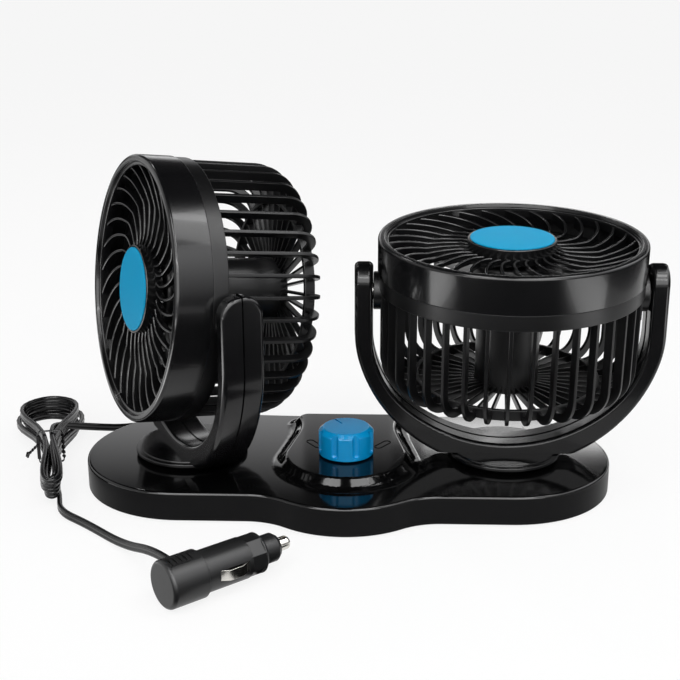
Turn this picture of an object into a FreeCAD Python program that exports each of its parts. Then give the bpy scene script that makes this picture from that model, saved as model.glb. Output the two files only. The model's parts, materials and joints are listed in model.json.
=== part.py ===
import FreeCAD, Part
import math
import os

import Sketcher
from FreeCAD import Placement, Rotation, Vector

doc = FreeCAD.newDocument("dual_head_fan")
sheet = doc.addObject("Spreadsheet::Sheet", "Sizes")
aliases = []


class Size:
    """A length, angle or count that keeps the sheet formula it comes from."""

    def __init__(self, value, text):
        self.value = float(value)
        self.text = text

    def __add__(self, other):
        other = lift(other)
        return Size(self.value + other.value, "(%s + %s)" % (self.text, other.text))

    def __sub__(self, other):
        other = lift(other)
        return Size(self.value - other.value, "(%s - %s)" % (self.text, other.text))

    def __rsub__(self, other):
        return lift(other) - self

    def __mul__(self, other):
        other = lift(other)
        return Size(self.value * other.value, "(%s * %s)" % (self.text, other.text))

    def __truediv__(self, other):
        other = lift(other)
        return Size(self.value / other.value, "(%s / %s)" % (self.text, other.text))

    def __neg__(self):
        return Size(-self.value, "(-1 * %s)" % self.text)

    __radd__ = __add__
    __rmul__ = __mul__


def lift(number):
    if isinstance(number, Size):
        return number
    return Size(number, "%.5f" % number)


def root(number):
    return Size(math.sqrt(number.value), "sqrt(%s)" % number.text)


def size(alias, number):
    aliases.append(alias)
    row = len(aliases)
    sheet.set("A%d" % row, alias)
    sheet.set("B%d" % row, str(number))
    sheet.setAlias("B%d" % row, alias)
    return Size(number, "Sizes." + alias)


# Base housing: two round lobes under the heads, a bulge for the control in front.
swivel_spacing = size("swivel_spacing", 180.0)
lobe_radius = size("lobe_radius", 60.0)
bulge_radius = size("bulge_radius", 53.0)
bulge_reach = size("bulge_reach", 77.0)
blend_radius = size("blend_radius", 37.0)
back_waist = size("back_waist", 56.5)
foot_lift = size("foot_lift", 1.2)
foot_radius = size("foot_radius", 6.0)
cover_height = size("cover_height", 16.0)
cover_wall = size("cover_wall", 2.2)
cover_skin = size("cover_skin", 2.4)
edge_round = size("edge_round", 1.6)
plate_thick = size("plate_thick", 2.2)
plate_gap = size("plate_gap", 0.25)
post_radius = size("post_radius", 3.6)
screw_radius = size("screw_radius", 1.2)
screw_head = size("screw_head", 2.8)
running_gap = size("running_gap", 0.05)

# Raised control deck and knob.
dais_radius = size("dais_radius", 33.8)
dais_setback = size("dais_setback", 16.0)
dais_rise = size("dais_rise", 5.8)
dais_waist = size("dais_waist", 28.5)
dais_back = size("dais_back", 46.0)
dais_room = size("dais_room", 24.0)
dais_run = size("dais_run", 6.0)
knob_radius = size("knob_radius", 15.5)
knob_height = size("knob_height", 15.5)
knob_lift = size("knob_lift", 0.8)
knob_wall = size("knob_wall", 2.4)
flute_count = size("flute_count", 8)
spindle_radius = size("spindle_radius", 3.0)
bushing_radius = size("bushing_radius", 3.6)

# Swivel joint under each yoke.
collar_radius = size("collar_radius", 27.0)
collar_rise = size("collar_rise", 1.2)
disc_gap = size("disc_gap", 0.3)
disc_radius = size("disc_radius", 32.0)
disc_thick = size("disc_thick", 3.3)
stem_radius = size("stem_radius", 6.0)
boss_radius = size("boss_radius", 12.0)
boss_drop = size("boss_drop", 2.0)

# Yoke.
pivot_height = size("pivot_height", 114.0)
yoke_outer = size("yoke_outer", 85.4)
yoke_inner = size("yoke_inner", 75.8)
yoke_half = size("yoke_half", 11.4)
arm_top = size("arm_top", 16.0)
arm_straight = size("arm_straight", 22.3)
depth_inner = size("depth_inner", 86.9)
depth_outer = size("depth_outer", 101.3)
corner_inner = size("corner_inner", 58.0)
corner_outer = size("corner_outer", 60.0)
pin_radius = size("pin_radius", 4.0)
pin_depth = size("pin_depth", 6.8)

# Fan head, measured along its own axis from the pivot, forward positive.
ring_radius = size("ring_radius", 73.0)
ring_wall = size("ring_wall", 2.4)
ring_front = size("ring_front", 31.5)
ring_seam = size("ring_seam", 11.5)
ring_round = size("ring_round", 2.0)
lip_radius = size("lip_radius", 69.2)
lip_depth = size("lip_depth", 4.3)
band_radius = size("band_radius", 72.5)
band_back = size("band_back", 3.0)
spigot_length = size("spigot_length", 4.0)
cage_radius = size("cage_radius", 71.4)
cage_back = size("cage_back", -55.0)
cage_corner = size("cage_corner", 17.0)
cage_rib_depth = size("cage_rib_depth", 5.0)
cage_rib_thick = size("cage_rib_thick", 1.9)
cage_rib_count = size("cage_rib_count", 38)
rear_ring_radius = size("rear_ring_radius", 52.0)
rear_ring_wall = size("rear_ring_wall", 2.4)
rear_ring_length = size("rear_ring_length", 6.0)
spoke_count = size("spoke_count", 24)
spoke_thick = size("spoke_thick", 1.6)
boss_reach = size("boss_reach", 75.3)
pivot_boss_radius = size("pivot_boss_radius", 10.6)
grille_rim = size("grille_rim", 65.0)
grille_back = size("grille_back", 21.5)
grille_hub = size("grille_hub", 24.2)
grille_dish = size("grille_dish", 3.2)
grille_rib_count = size("grille_rib_count", 30)
grille_rib_thick = size("grille_rib_thick", 1.5)
grille_hook = size("grille_hook", 10.72)
grille_bend = size("grille_bend", 32.67)
badge_radius = size("badge_radius", 22.8)
badge_front = size("badge_front", 31.2)
badge_thick = size("badge_thick", 1.5)

# Motor and impeller.
motor_radius = size("motor_radius", 15.5)
motor_face = size("motor_face", -11.0)
motor_length = size("motor_length", 36.0)
motor_wall = size("motor_wall", 2.2)
shaft_radius = size("shaft_radius", 1.15)
hub_radius = size("hub_radius", 21.0)
hub_back = size("hub_back", -5.5)
hub_front = size("hub_front", 19.0)
blade_tip = size("blade_tip", 63.5)
blade_count = size("blade_count", 5)

# Pose of the two heads in degrees: swivel about the base, tilt upward.
left_swivel = size("left_swivel", -61.5)
left_tilt = size("left_tilt", 7.0)
right_swivel = size("right_swivel", 0.0)
right_tilt = size("right_tilt", 86.5)

# Supply cord, hank and power plug.
cord_width = size("cord_width", 3.8)
cord_pitch = size("cord_pitch", 5.3)
cord_stack = size("cord_stack", 4.5)
cord_exit = size("cord_exit", 8.0)
grommet_reach = size("grommet_reach", 3.5)
hank_x = size("hank_x", -178.2)
hank_y = size("hank_y", 17.0)
hank_angle = size("hank_angle", 105.2)
waist_half = size("waist_half", 2.7)
far_reach = size("far_reach", 70.0)
far_half = size("far_half", 17.5)
near_reach = size("near_reach", 60.0)
near_half = size("near_half", 5.5)
tie_radius = size("tie_radius", 0.9)
plug_x = size("plug_x", -81.3)
plug_y = size("plug_y", -150.3)
plug_angle = size("plug_angle", 40.4)
plug_radius = size("plug_radius", 12.0)
plug_grip_length = size("plug_grip_length", 20.5)
plug_barrel_radius = size("plug_barrel_radius", 10.45)
plug_barrel_end = size("plug_barrel_end", 44.0)
plug_nose_end = size("plug_nose_end", 64.5)
plug_length = size("plug_length", 72.0)
plug_tip_radius = size("plug_tip_radius", 3.5)
gland_place = size("gland_place", 15.0)
gland_reach = size("gland_reach", 17.0)
doc.recompute()

half = swivel_spacing / 2
base_top = foot_lift + cover_height
plate_top = foot_lift + plate_thick
roof = base_top - cover_skin
dais_top = base_top + dais_rise
disc_under = base_top + collar_rise + disc_gap
disc_top = disc_under + disc_thick
pieces = []


def body(label, place=None):
    part = doc.addObject("PartDesign::Body", label)
    part.Label = label
    if place is not None:
        part.Placement = place
    pieces.append(part)
    return part


def datum(part, role):
    return [item for item in part.Origin.OriginFeatures if item.Role == role][0]


def sketch(part, role, offset=None):
    drawn = part.newObject("Sketcher::SketchObject", "Sketch")
    drawn.AttachmentSupport = [(datum(part, role), "")]
    drawn.MapMode = "FlatFace"
    if offset is not None:
        offset = lift(offset)
        drawn.AttachmentOffset = Placement(Vector(0, 0, offset.value), Rotation())
        if "Sizes" in offset.text:
            drawn.setExpression("AttachmentOffset.Base.z", offset.text)
    return drawn


def bind(drawn, rules):
    numbers = drawn.addConstraint([rule for rule, text in rules])
    for number, (rule, text) in zip(numbers, rules):
        if "Sizes" in text:
            drawn.setExpression("Constraints[%d]" % number, text)


def pinned(geometry, point, spot):
    rules = []
    for kind, value, axis in (("DistanceX", spot[0], -2), ("DistanceY", spot[1], -1)):
        if abs(value.value) < 1e-9:
            rules.append((Sketcher.Constraint("PointOnObject", geometry, point, axis), ""))
        else:
            rule = Sketcher.Constraint(kind, -1, 1, geometry, point, value.value)
            rules.append((rule, value.text))
    return rules


def loop(drawn, corners):
    """Closed outline: each corner is (x, y), or (x, y, radius, turn) when an arc leads to it."""
    spots = [(lift(corner[0]), lift(corner[1])) for corner in corners]
    flat = [Vector(spot[0].value, spot[1].value, 0) for spot in spots]
    lines = []
    for i, corner in enumerate(corners):
        start = flat[i - 1]
        end = flat[i]
        if len(corner) == 2:
            lines.append(drawn.addGeometry(Part.LineSegment(start, end), False))
            continue
        reach = lift(corner[2]).value
        chord = end - start
        side = Vector(-chord.y, chord.x, 0).normalize() * corner[3]
        rise = math.sqrt(max(reach * reach - chord.Length * chord.Length / 4, 0))
        middle = (start + end) * 0.5 + side * (rise - reach)
        lines.append(drawn.addGeometry(Part.Arc(start, middle, end), False))
    rules = []
    for i, corner in enumerate(corners):
        following = (i + 1) % len(corners)
        ends = []
        for line in (lines[i], lines[following]):
            near = [(drawn.getPoint(line, point) - flat[i]).Length for point in (1, 2)]
            ends.append(1 if near[0] < near[1] else 2)
        joined = Sketcher.Constraint("Coincident", lines[i], ends[0], lines[following], ends[1])
        rules.append((joined, ""))
        rules.extend(pinned(lines[i], ends[0], spots[i]))
        if len(corner) > 2:
            reach = lift(corner[2])
            rules.append((Sketcher.Constraint("Radius", lines[i], reach.value), reach.text))
    bind(drawn, rules)


def disc(drawn, x, y, radius):
    spot = (lift(x), lift(y))
    radius = lift(radius)
    centre = Vector(spot[0].value, spot[1].value, 0)
    ring = drawn.addGeometry(Part.Circle(centre, Vector(0, 0, 1), radius.value), False)
    rules = [(Sketcher.Constraint("Radius", ring, radius.value), radius.text)]
    rules.extend(pinned(ring, 3, spot))
    bind(drawn, rules)


def box(drawn, x0, y0, x1, y1):
    loop(drawn, [(x0, y0), (x1, y0), (x1, y1), (x0, y1)])


def measure(feature, name, amount):
    amount = lift(amount)
    setattr(feature, name, amount.value)
    if "Sizes" in amount.text:
        feature.setExpression(name, amount.text)


def turned(part, drawn, kind="PartDesign::Revolution"):
    made = part.newObject(kind, "Turned")
    made.Refine = False
    made.Profile = drawn
    made.ReferenceAxis = (drawn, ["V_Axis"])
    made.Angle = 360
    part.Tip = made
    return made


def raised(part, drawn, length, back=False, both=False, taper=None):
    made = part.newObject("PartDesign::Pad", "Raised")
    made.Refine = False
    made.Profile = drawn
    measure(made, "Length", length)
    made.Reversed = back
    if both:
        made.SideType = "Symmetric"
    if taper is not None:
        measure(made, "TaperAngle", taper)
    part.Tip = made
    return made


def sunk(part, drawn, length, back=False, both=False):
    made = part.newObject("PartDesign::Pocket", "Sunk")
    made.Refine = False
    made.Profile = drawn
    measure(made, "Length", length)
    made.Reversed = back
    if both:
        made.SideType = "Symmetric"
    part.Tip = made
    return made


def around(part, feature, count):
    made = part.newObject("PartDesign::PolarPattern", "Around")
    made.Refine = False
    made.Originals = [feature]
    made.Axis = (datum(part, "Z_Axis"), [""])
    made.Angle = 360
    part.Tip = made
    made.Occurrences = int(count.value)
    made.setExpression("Occurrences", count.text)
    return made


def softened(part, radius, choose):
    doc.recompute()
    source = part.Tip
    names = []
    for number, edge in enumerate(source.Shape.Edges):
        if choose(edge):
            names.append("Edge%d" % (number + 1))
    made = part.newObject("PartDesign::Fillet", "Softened")
    made.Base = (source, names)
    measure(made, "Radius", radius)
    part.Tip = made
    return made


def level(edge, axis, value, slack=0.01):
    box_of = edge.BoundBox
    low = getattr(box_of, axis + "Min")
    high = getattr(box_of, axis + "Max")
    return abs(low - value) < slack and abs(high - value) < slack


def outline(drawn, inset):
    """Plan of the base, drawn in by an inset all round."""
    inset = lift(inset)
    lobe = lobe_radius - inset
    bulge_y = bulge_radius - bulge_reach
    blend_y = -(lobe_radius + blend_radius)
    span = bulge_radius + blend_radius
    drop = blend_y - bulge_y
    blend_x = root(span * span - drop * drop)
    share = (bulge_radius - inset) / span
    waist = half * half + back_waist * back_waist - lobe_radius * lobe_radius
    waist = waist / ((lobe_radius - back_waist) * 2)
    part_of = lobe / (lobe_radius + waist)
    back_x = half - half * part_of
    back_y = (back_waist + waist) * part_of
    loop(drawn, [
        (blend_x * share, bulge_y + drop * share, bulge_radius - inset, 1),
        (blend_x, -lobe, blend_radius + inset, -1),
        (half, -lobe),
        (half + lobe, 0, lobe, 1),
        (back_x, back_y, lobe, 1),
        (-back_x, back_y, waist + inset, -1),
        (-half - lobe, 0, lobe, 1),
        (-half, -lobe, lobe, 1),
        (-blend_x, -lobe),
        (-(blend_x * share), bulge_y + drop * share, blend_radius + inset, -1),
    ])


# Places of the base screws and feet, as shares of the plan.
screw_spots = []
foot_spots = []
for side in (-1, 1):
    screw_spots.append(((half + lobe_radius * 0.74) * side, lift(0)))
    screw_spots.append((half * 0.58 * side, back_waist * 0.78))
    screw_spots.append((half * 0.45 * side, -(lobe_radius * 0.86)))
    foot_spots.append(((half + lobe_radius * 0.5) * side, lobe_radius * 0.57))
    foot_spots.append(((half + lobe_radius * 0.5) * side, -(lobe_radius * 0.57)))
foot_spots.append((lift(0), -(bulge_reach * 0.85)))
foot_spots.append((lift(0), back_waist * 0.79))
foot_spots.append((lift(0), lift(0)))

# Base cover: hollow moulding with the raised deck, swivel collars and screw posts.
cover = body("base_cover")
plan = sketch(cover, "XY_Plane", foot_lift)
outline(plan, 0)
raised(cover, plan, cover_height)
deck_y = -dais_setback
decks = []
for grown, height in ((dais_run, base_top - 0.5), (lift(0), dais_top)):
    deck = sketch(cover, "XY_Plane", height)
    front = dais_radius + grown
    waist = dais_waist + grown
    rear = dais_back + grown * 0.7
    loop(deck, [
        (front * 0.985, deck_y + front * 0.1726, front, 1),
        (waist, deck_y + dais_radius * 0.95),
        (waist + 1.1, dais_back - 5.5, 60 - grown, -1),
        (waist - 4.4, rear, 5.5 + grown, 1),
        (4.4 - waist, rear),
        (-(waist + 1.1), dais_back - 5.5, 5.5 + grown, 1),
        (-waist, deck_y + dais_radius * 0.95, 60 - grown, -1),
        (-(front * 0.985), deck_y + front * 0.1726),
        (0, deck_y - front, front, 1),
    ])
    decks.append(deck)
slope = cover.newObject("PartDesign::AdditiveLoft", "Slope")
slope.Profile = decks[0]
slope.Sections = [decks[1]]
slope.Ruled = True
cover.Tip = slope
top_level = base_top.value
deck_level = dais_top.value


def deck_foot(edge):
    middle = edge.BoundBox.Center
    inside = abs(middle.x) < 48 and -60 < middle.y < 53.5
    return level(edge, "Z", top_level) and inside


softened(cover, dais_radius * 0.24, deck_foot)
softened(cover, dais_rise * 0.5, lambda edge: level(edge, "Z", deck_level))
softened(cover, edge_round, lambda edge: level(edge, "Z", top_level) and not deck_foot(edge)
         and (abs(edge.BoundBox.Center.x) > 48 or edge.BoundBox.YMin < -59
              or edge.BoundBox.YMax > 56))
cavity = sketch(cover, "XY_Plane", foot_lift)
outline(cavity, cover_wall)
sunk(cover, cavity, cover_height - cover_skin, back=True)
room = sketch(cover, "XY_Plane", roof)
disc(room, 0, -dais_setback, dais_room)
sunk(cover, room, dais_rise, back=True)
collars = sketch(cover, "XY_Plane", base_top - 0.5)
bosses = sketch(cover, "XY_Plane", roof + 0.5)
for side in (-1, 1):
    disc(collars, half * side, 0, collar_radius)
    disc(bosses, half * side, 0, boss_radius)
raised(cover, collars, collar_rise + 0.5)
raised(cover, bosses, boss_drop + 0.5, back=True)
posts = sketch(cover, "XY_Plane", plate_top)
for spot in screw_spots:
    disc(posts, spot[0], spot[1], post_radius)
raised(cover, posts, roof - plate_top + 0.5)
pilots = sketch(cover, "XY_Plane", plate_top)
for spot in screw_spots:
    disc(pilots, spot[0], spot[1], screw_radius + running_gap)
sunk(cover, pilots, 8, back=True)
bores = sketch(cover, "XY_Plane", base_top + collar_rise)
for side in (-1, 1):
    disc(bores, half * side, 0, stem_radius + running_gap)
sunk(cover, bores, cover_skin + boss_drop + collar_rise + 1)
bushing_hole = sketch(cover, "XY_Plane", dais_top)
disc(bushing_hole, 0, -dais_setback, bushing_radius + running_gap)
sunk(cover, bushing_hole, cover_skin + 1)
cord_hole = sketch(cover, "XZ_Plane", 8 - lobe_radius)
disc(cord_hole, -half, cord_exit, cord_width)
sunk(cover, cord_hole, 12)

# Bottom plate, its screws and the rubber feet.
plate = body("base_plate")
plan = sketch(plate, "XY_Plane", foot_lift)
outline(plan, cover_wall + plate_gap)
raised(plate, plan, plate_thick)
holes = sketch(plate, "XY_Plane", foot_lift)
sinks = sketch(plate, "XY_Plane", foot_lift)
for spot in screw_spots:
    disc(holes, spot[0], spot[1], screw_radius + 0.4)
    disc(sinks, spot[0], spot[1], screw_head + 0.4)
sunk(plate, holes, plate_thick + 1, back=True)
sunk(plate, sinks, plate_thick * 0.5, back=True)

feet = body("rubber_feet")
pads = sketch(feet, "XY_Plane")
for spot in foot_spots:
    disc(pads, spot[0], spot[1], foot_radius)
raised(feet, pads, foot_lift)

screws = body("base_screws")
heads = sketch(screws, "XY_Plane", foot_lift + 0.1)
shanks = sketch(screws, "XY_Plane", foot_lift + plate_thick * 0.5)
for spot in screw_spots:
    disc(heads, spot[0], spot[1], screw_head)
    disc(shanks, spot[0], spot[1], screw_radius)
raised(screws, heads, plate_thick * 0.5 - 0.1)
raised(screws, shanks, plate_thick * 0.5 + 7)

# Speed control under the deck: board, control body, nut and the turning spindle with its knob.
deck_roof = dais_top - cover_skin
board_top = deck_roof - 7.4
centre = Placement(Vector(0, -dais_setback.value, 0), Rotation())
board = body("control_board", centre)
plan = sketch(board, "XY_Plane", board_top - 1.6)
box(plan, -21, -14, 21, 14)
raised(board, plan, 1.6)

control = body("speed_control", centre)
plan = sketch(control, "XZ_Plane")
loop(plan, [(spindle_radius + running_gap, board_top + 2), (spindle_radius + running_gap, dais_top + 3.2),
            (bushing_radius, dais_top + 3.2), (bushing_radius, deck_roof), (8.2, deck_roof),
            (8.2, board_top), (0, board_top), (0, board_top + 2)])
turned(control, plan)

parts = body("board_parts", centre)
plan = sketch(parts, "XY_Plane", board_top)
disc(plan, -15, 7, 3.2)
disc(plan, -15, -7, 2.4)
box(plan, 12.5, -9, 17.5, 9)
raised(parts, plan, 5.6)

nut = body("control_nut", centre)
plan = sketch(nut, "XY_Plane", dais_top)
corner = 5.8
loop(plan, [(corner * math.cos(math.radians(60 * k)), corner * math.sin(math.radians(60 * k)))
            for k in range(6)])
disc(plan, 0, 0, bushing_radius)
raised(nut, plan, 2.2)

knob_low = dais_top + knob_lift
knob_top = knob_low + knob_height
knob = body("speed_knob", centre)
plan = sketch(knob, "XZ_Plane")
loop(plan, [(spindle_radius, knob_low + 4), (5.2, knob_low + 4), (5.2, knob_top - 6.5),
            (knob_radius - knob_wall, knob_top - 6.5), (knob_radius - knob_wall, knob_low),
            (knob_radius, knob_low), (knob_radius, knob_top - 2.2), (knob_radius - 2.2, knob_top),
            (0, knob_top), (0, knob_top - 3), (spindle_radius, knob_top - 3)])
turned(knob, plan)
flute = sketch(knob, "XY_Plane", knob_low)
disc(flute, (knob_radius + 1.3) * math.cos(math.radians(22.5)),
     (knob_radius + 1.3) * math.sin(math.radians(22.5)), 2.5)
around(knob, sunk(knob, flute, knob_height - 2.6, back=True), flute_count)
pointer = sketch(knob, "XY_Plane", knob_top)
lean = math.radians(123)
across = (math.cos(lean) * 0.8, math.sin(lean) * 0.8)
loop(pointer, [
    (knob_radius * 0.3 * math.cos(lean) + across[1], knob_radius * 0.3 * math.sin(lean) - across[0]),
    (knob_radius * 0.8 * math.cos(lean) + across[1], knob_radius * 0.8 * math.sin(lean) - across[0]),
    (knob_radius * 0.8 * math.cos(lean) - across[1], knob_radius * 0.8 * math.sin(lean) + across[0]),
    (knob_radius * 0.3 * math.cos(lean) - across[1], knob_radius * 0.3 * math.sin(lean) + across[0]),
])
sunk(knob, pointer, 0.6)

spindle = body("control_spindle", centre)
plan = sketch(spindle, "XY_Plane", board_top + 2.2)
disc(plan, 0, 0, spindle_radius)
raised(spindle, plan, knob_top - 3 - board_top - 2.2)

# Outlines shared by the two halves of a yoke, in the swivel frame.
bend = pivot_height - arm_straight
arch = {}
for name, wide, deep, corner in (("inner", yoke_inner, depth_inner, corner_inner),
                                 ("outer", yoke_outer, depth_outer, corner_outer)):
    inward = wide - corner
    below = deep - arm_straight
    sweep = inward * inward + below * below - corner * corner
    sweep = sweep / ((below - corner) * 2)
    middle = pivot_height - deep + sweep
    ratio = sweep / (sweep - corner)
    arch[name] = (sweep, middle, inward * ratio, middle + (bend - middle) * ratio)
foot_drop = arch["outer"][1] - disc_top
foot_x = root(arch["outer"][0] * arch["outer"][0] - foot_drop * foot_drop)
arm_middle = (yoke_inner + yoke_outer) / 2
yoke_screws = []
for side in (-1, 1):
    yoke_screws.append((arm_middle * side, pivot_height - 15))
    yoke_screws.append((depth_inner * 0.53 * side, pivot_height - (depth_inner + depth_outer) * 0.429))

plug_lean = math.radians(plug_angle.value)
plug_way = Vector(math.cos(plug_lean), math.sin(plug_lean), 0)
plug_side = Vector(plug_way.y, -plug_way.x, 0)
plug_place = Placement(Vector(plug_x.value, plug_y.value, plug_radius.value + 0.05),
                       Rotation(Vector(0, 0, 1), plug_side, plug_way, "ZXY"))


def yoke_shell(label, place, back):
    """One half of the U-shaped yoke, split down the middle of its strip."""
    shell = body(label, place)
    outer = arch["outer"]
    inner = arch["inner"]
    top = pivot_height + arm_top
    face = sketch(shell, "XZ_Plane")
    loop(face, [
        (yoke_outer, top), (yoke_outer, bend),
        (outer[2], outer[3], corner_outer, -1),
        (foot_x, disc_top, outer[0], -1),
        (-foot_x, disc_top),
        (-outer[2], outer[3], outer[0], -1),
        (-yoke_outer, bend, corner_outer, -1),
        (-yoke_outer, top), (-yoke_inner, top), (-yoke_inner, bend),
        (-inner[2], inner[3], corner_inner, 1),
        (inner[2], inner[3], inner[0], 1),
        (yoke_inner, bend, corner_inner, 1),
        (yoke_inner, top),
    ])
    raised(shell, face, yoke_half, back=back)
    outside = yoke_half.value * (1 if back else -1)
    high = top.value
    softened(shell, yoke_half - 0.9, lambda edge: level(edge, "Z", high) and level(edge, "Y", outside))
    softened(shell, yoke_half * 0.2, lambda edge: level(edge, "Y", outside)
             and edge.BoundBox.ZMax > disc_top.value + 0.1)
    for side in (-1, 1):
        bore = sketch(shell, "YZ_Plane", (yoke_inner - 1) * side)
        disc(bore, 0, pivot_height, pin_radius + running_gap)
        sunk(shell, bore, pin_depth + 1.2, back=side > 0)
    holes = sketch(shell, "XZ_Plane", -yoke_half if back else yoke_half - 3)
    for spot in yoke_screws:
        disc(holes, spot[0], spot[1], screw_radius + (0.2 if back else running_gap.value))
    sunk(shell, holes, yoke_half + 1, back=back)
    if back:
        sinks = sketch(shell, "XZ_Plane", 3 - yoke_half)
        for spot in yoke_screws:
            disc(sinks, spot[0], spot[1], screw_head)
        sunk(shell, sinks, 4)


def swivel(side, place):
    """Foot disc with its hollow stem, the washer and screw that hold it under the cover."""
    foot = body(side + "_swivel_disc", place)
    stem_low = roof - boss_drop - disc_gap
    profile = sketch(foot, "XZ_Plane")
    hole = screw_radius + 0.3 + running_gap
    loop(profile, [(hole, stem_low), (stem_radius, stem_low), (stem_radius, disc_under),
                   (disc_radius - 0.8, disc_under), (disc_radius, disc_under + 0.8),
                   (disc_radius, disc_top - 1.2), (disc_radius - 1.2, disc_top, 1.2, 1),
                   (hole, disc_top)])
    turned(foot, profile)
    washer = body(side + "_swivel_washer", place)
    profile = sketch(washer, "XY_Plane", stem_low)
    disc(profile, 0, 0, boss_radius - 2)
    disc(profile, 0, 0, hole)
    raised(washer, profile, 1.4, back=True)
    bolt = body(side + "_swivel_screw", place)
    profile = sketch(bolt, "XZ_Plane")
    loop(profile, [(0, stem_low - 3.4), (4.2, stem_low - 3.4), (4.2, stem_low - 1.4),
                   (screw_radius + 0.3, stem_low - 1.4), (screw_radius + 0.3, stem_low + 7),
                   (0, stem_low + 7)])
    turned(bolt, profile)
    fixings = body(side + "_yoke_screws", place)
    heads = sketch(fixings, "XZ_Plane", 3 - yoke_half)
    shanks = sketch(fixings, "XZ_Plane", 3 - yoke_half)
    for spot in yoke_screws:
        disc(heads, spot[0], spot[1], screw_head - 0.3)
        disc(shanks, spot[0], spot[1], screw_radius)
    raised(fixings, heads, 1.6, back=True)
    raised(fixings, shanks, yoke_half * 1.2)


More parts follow.
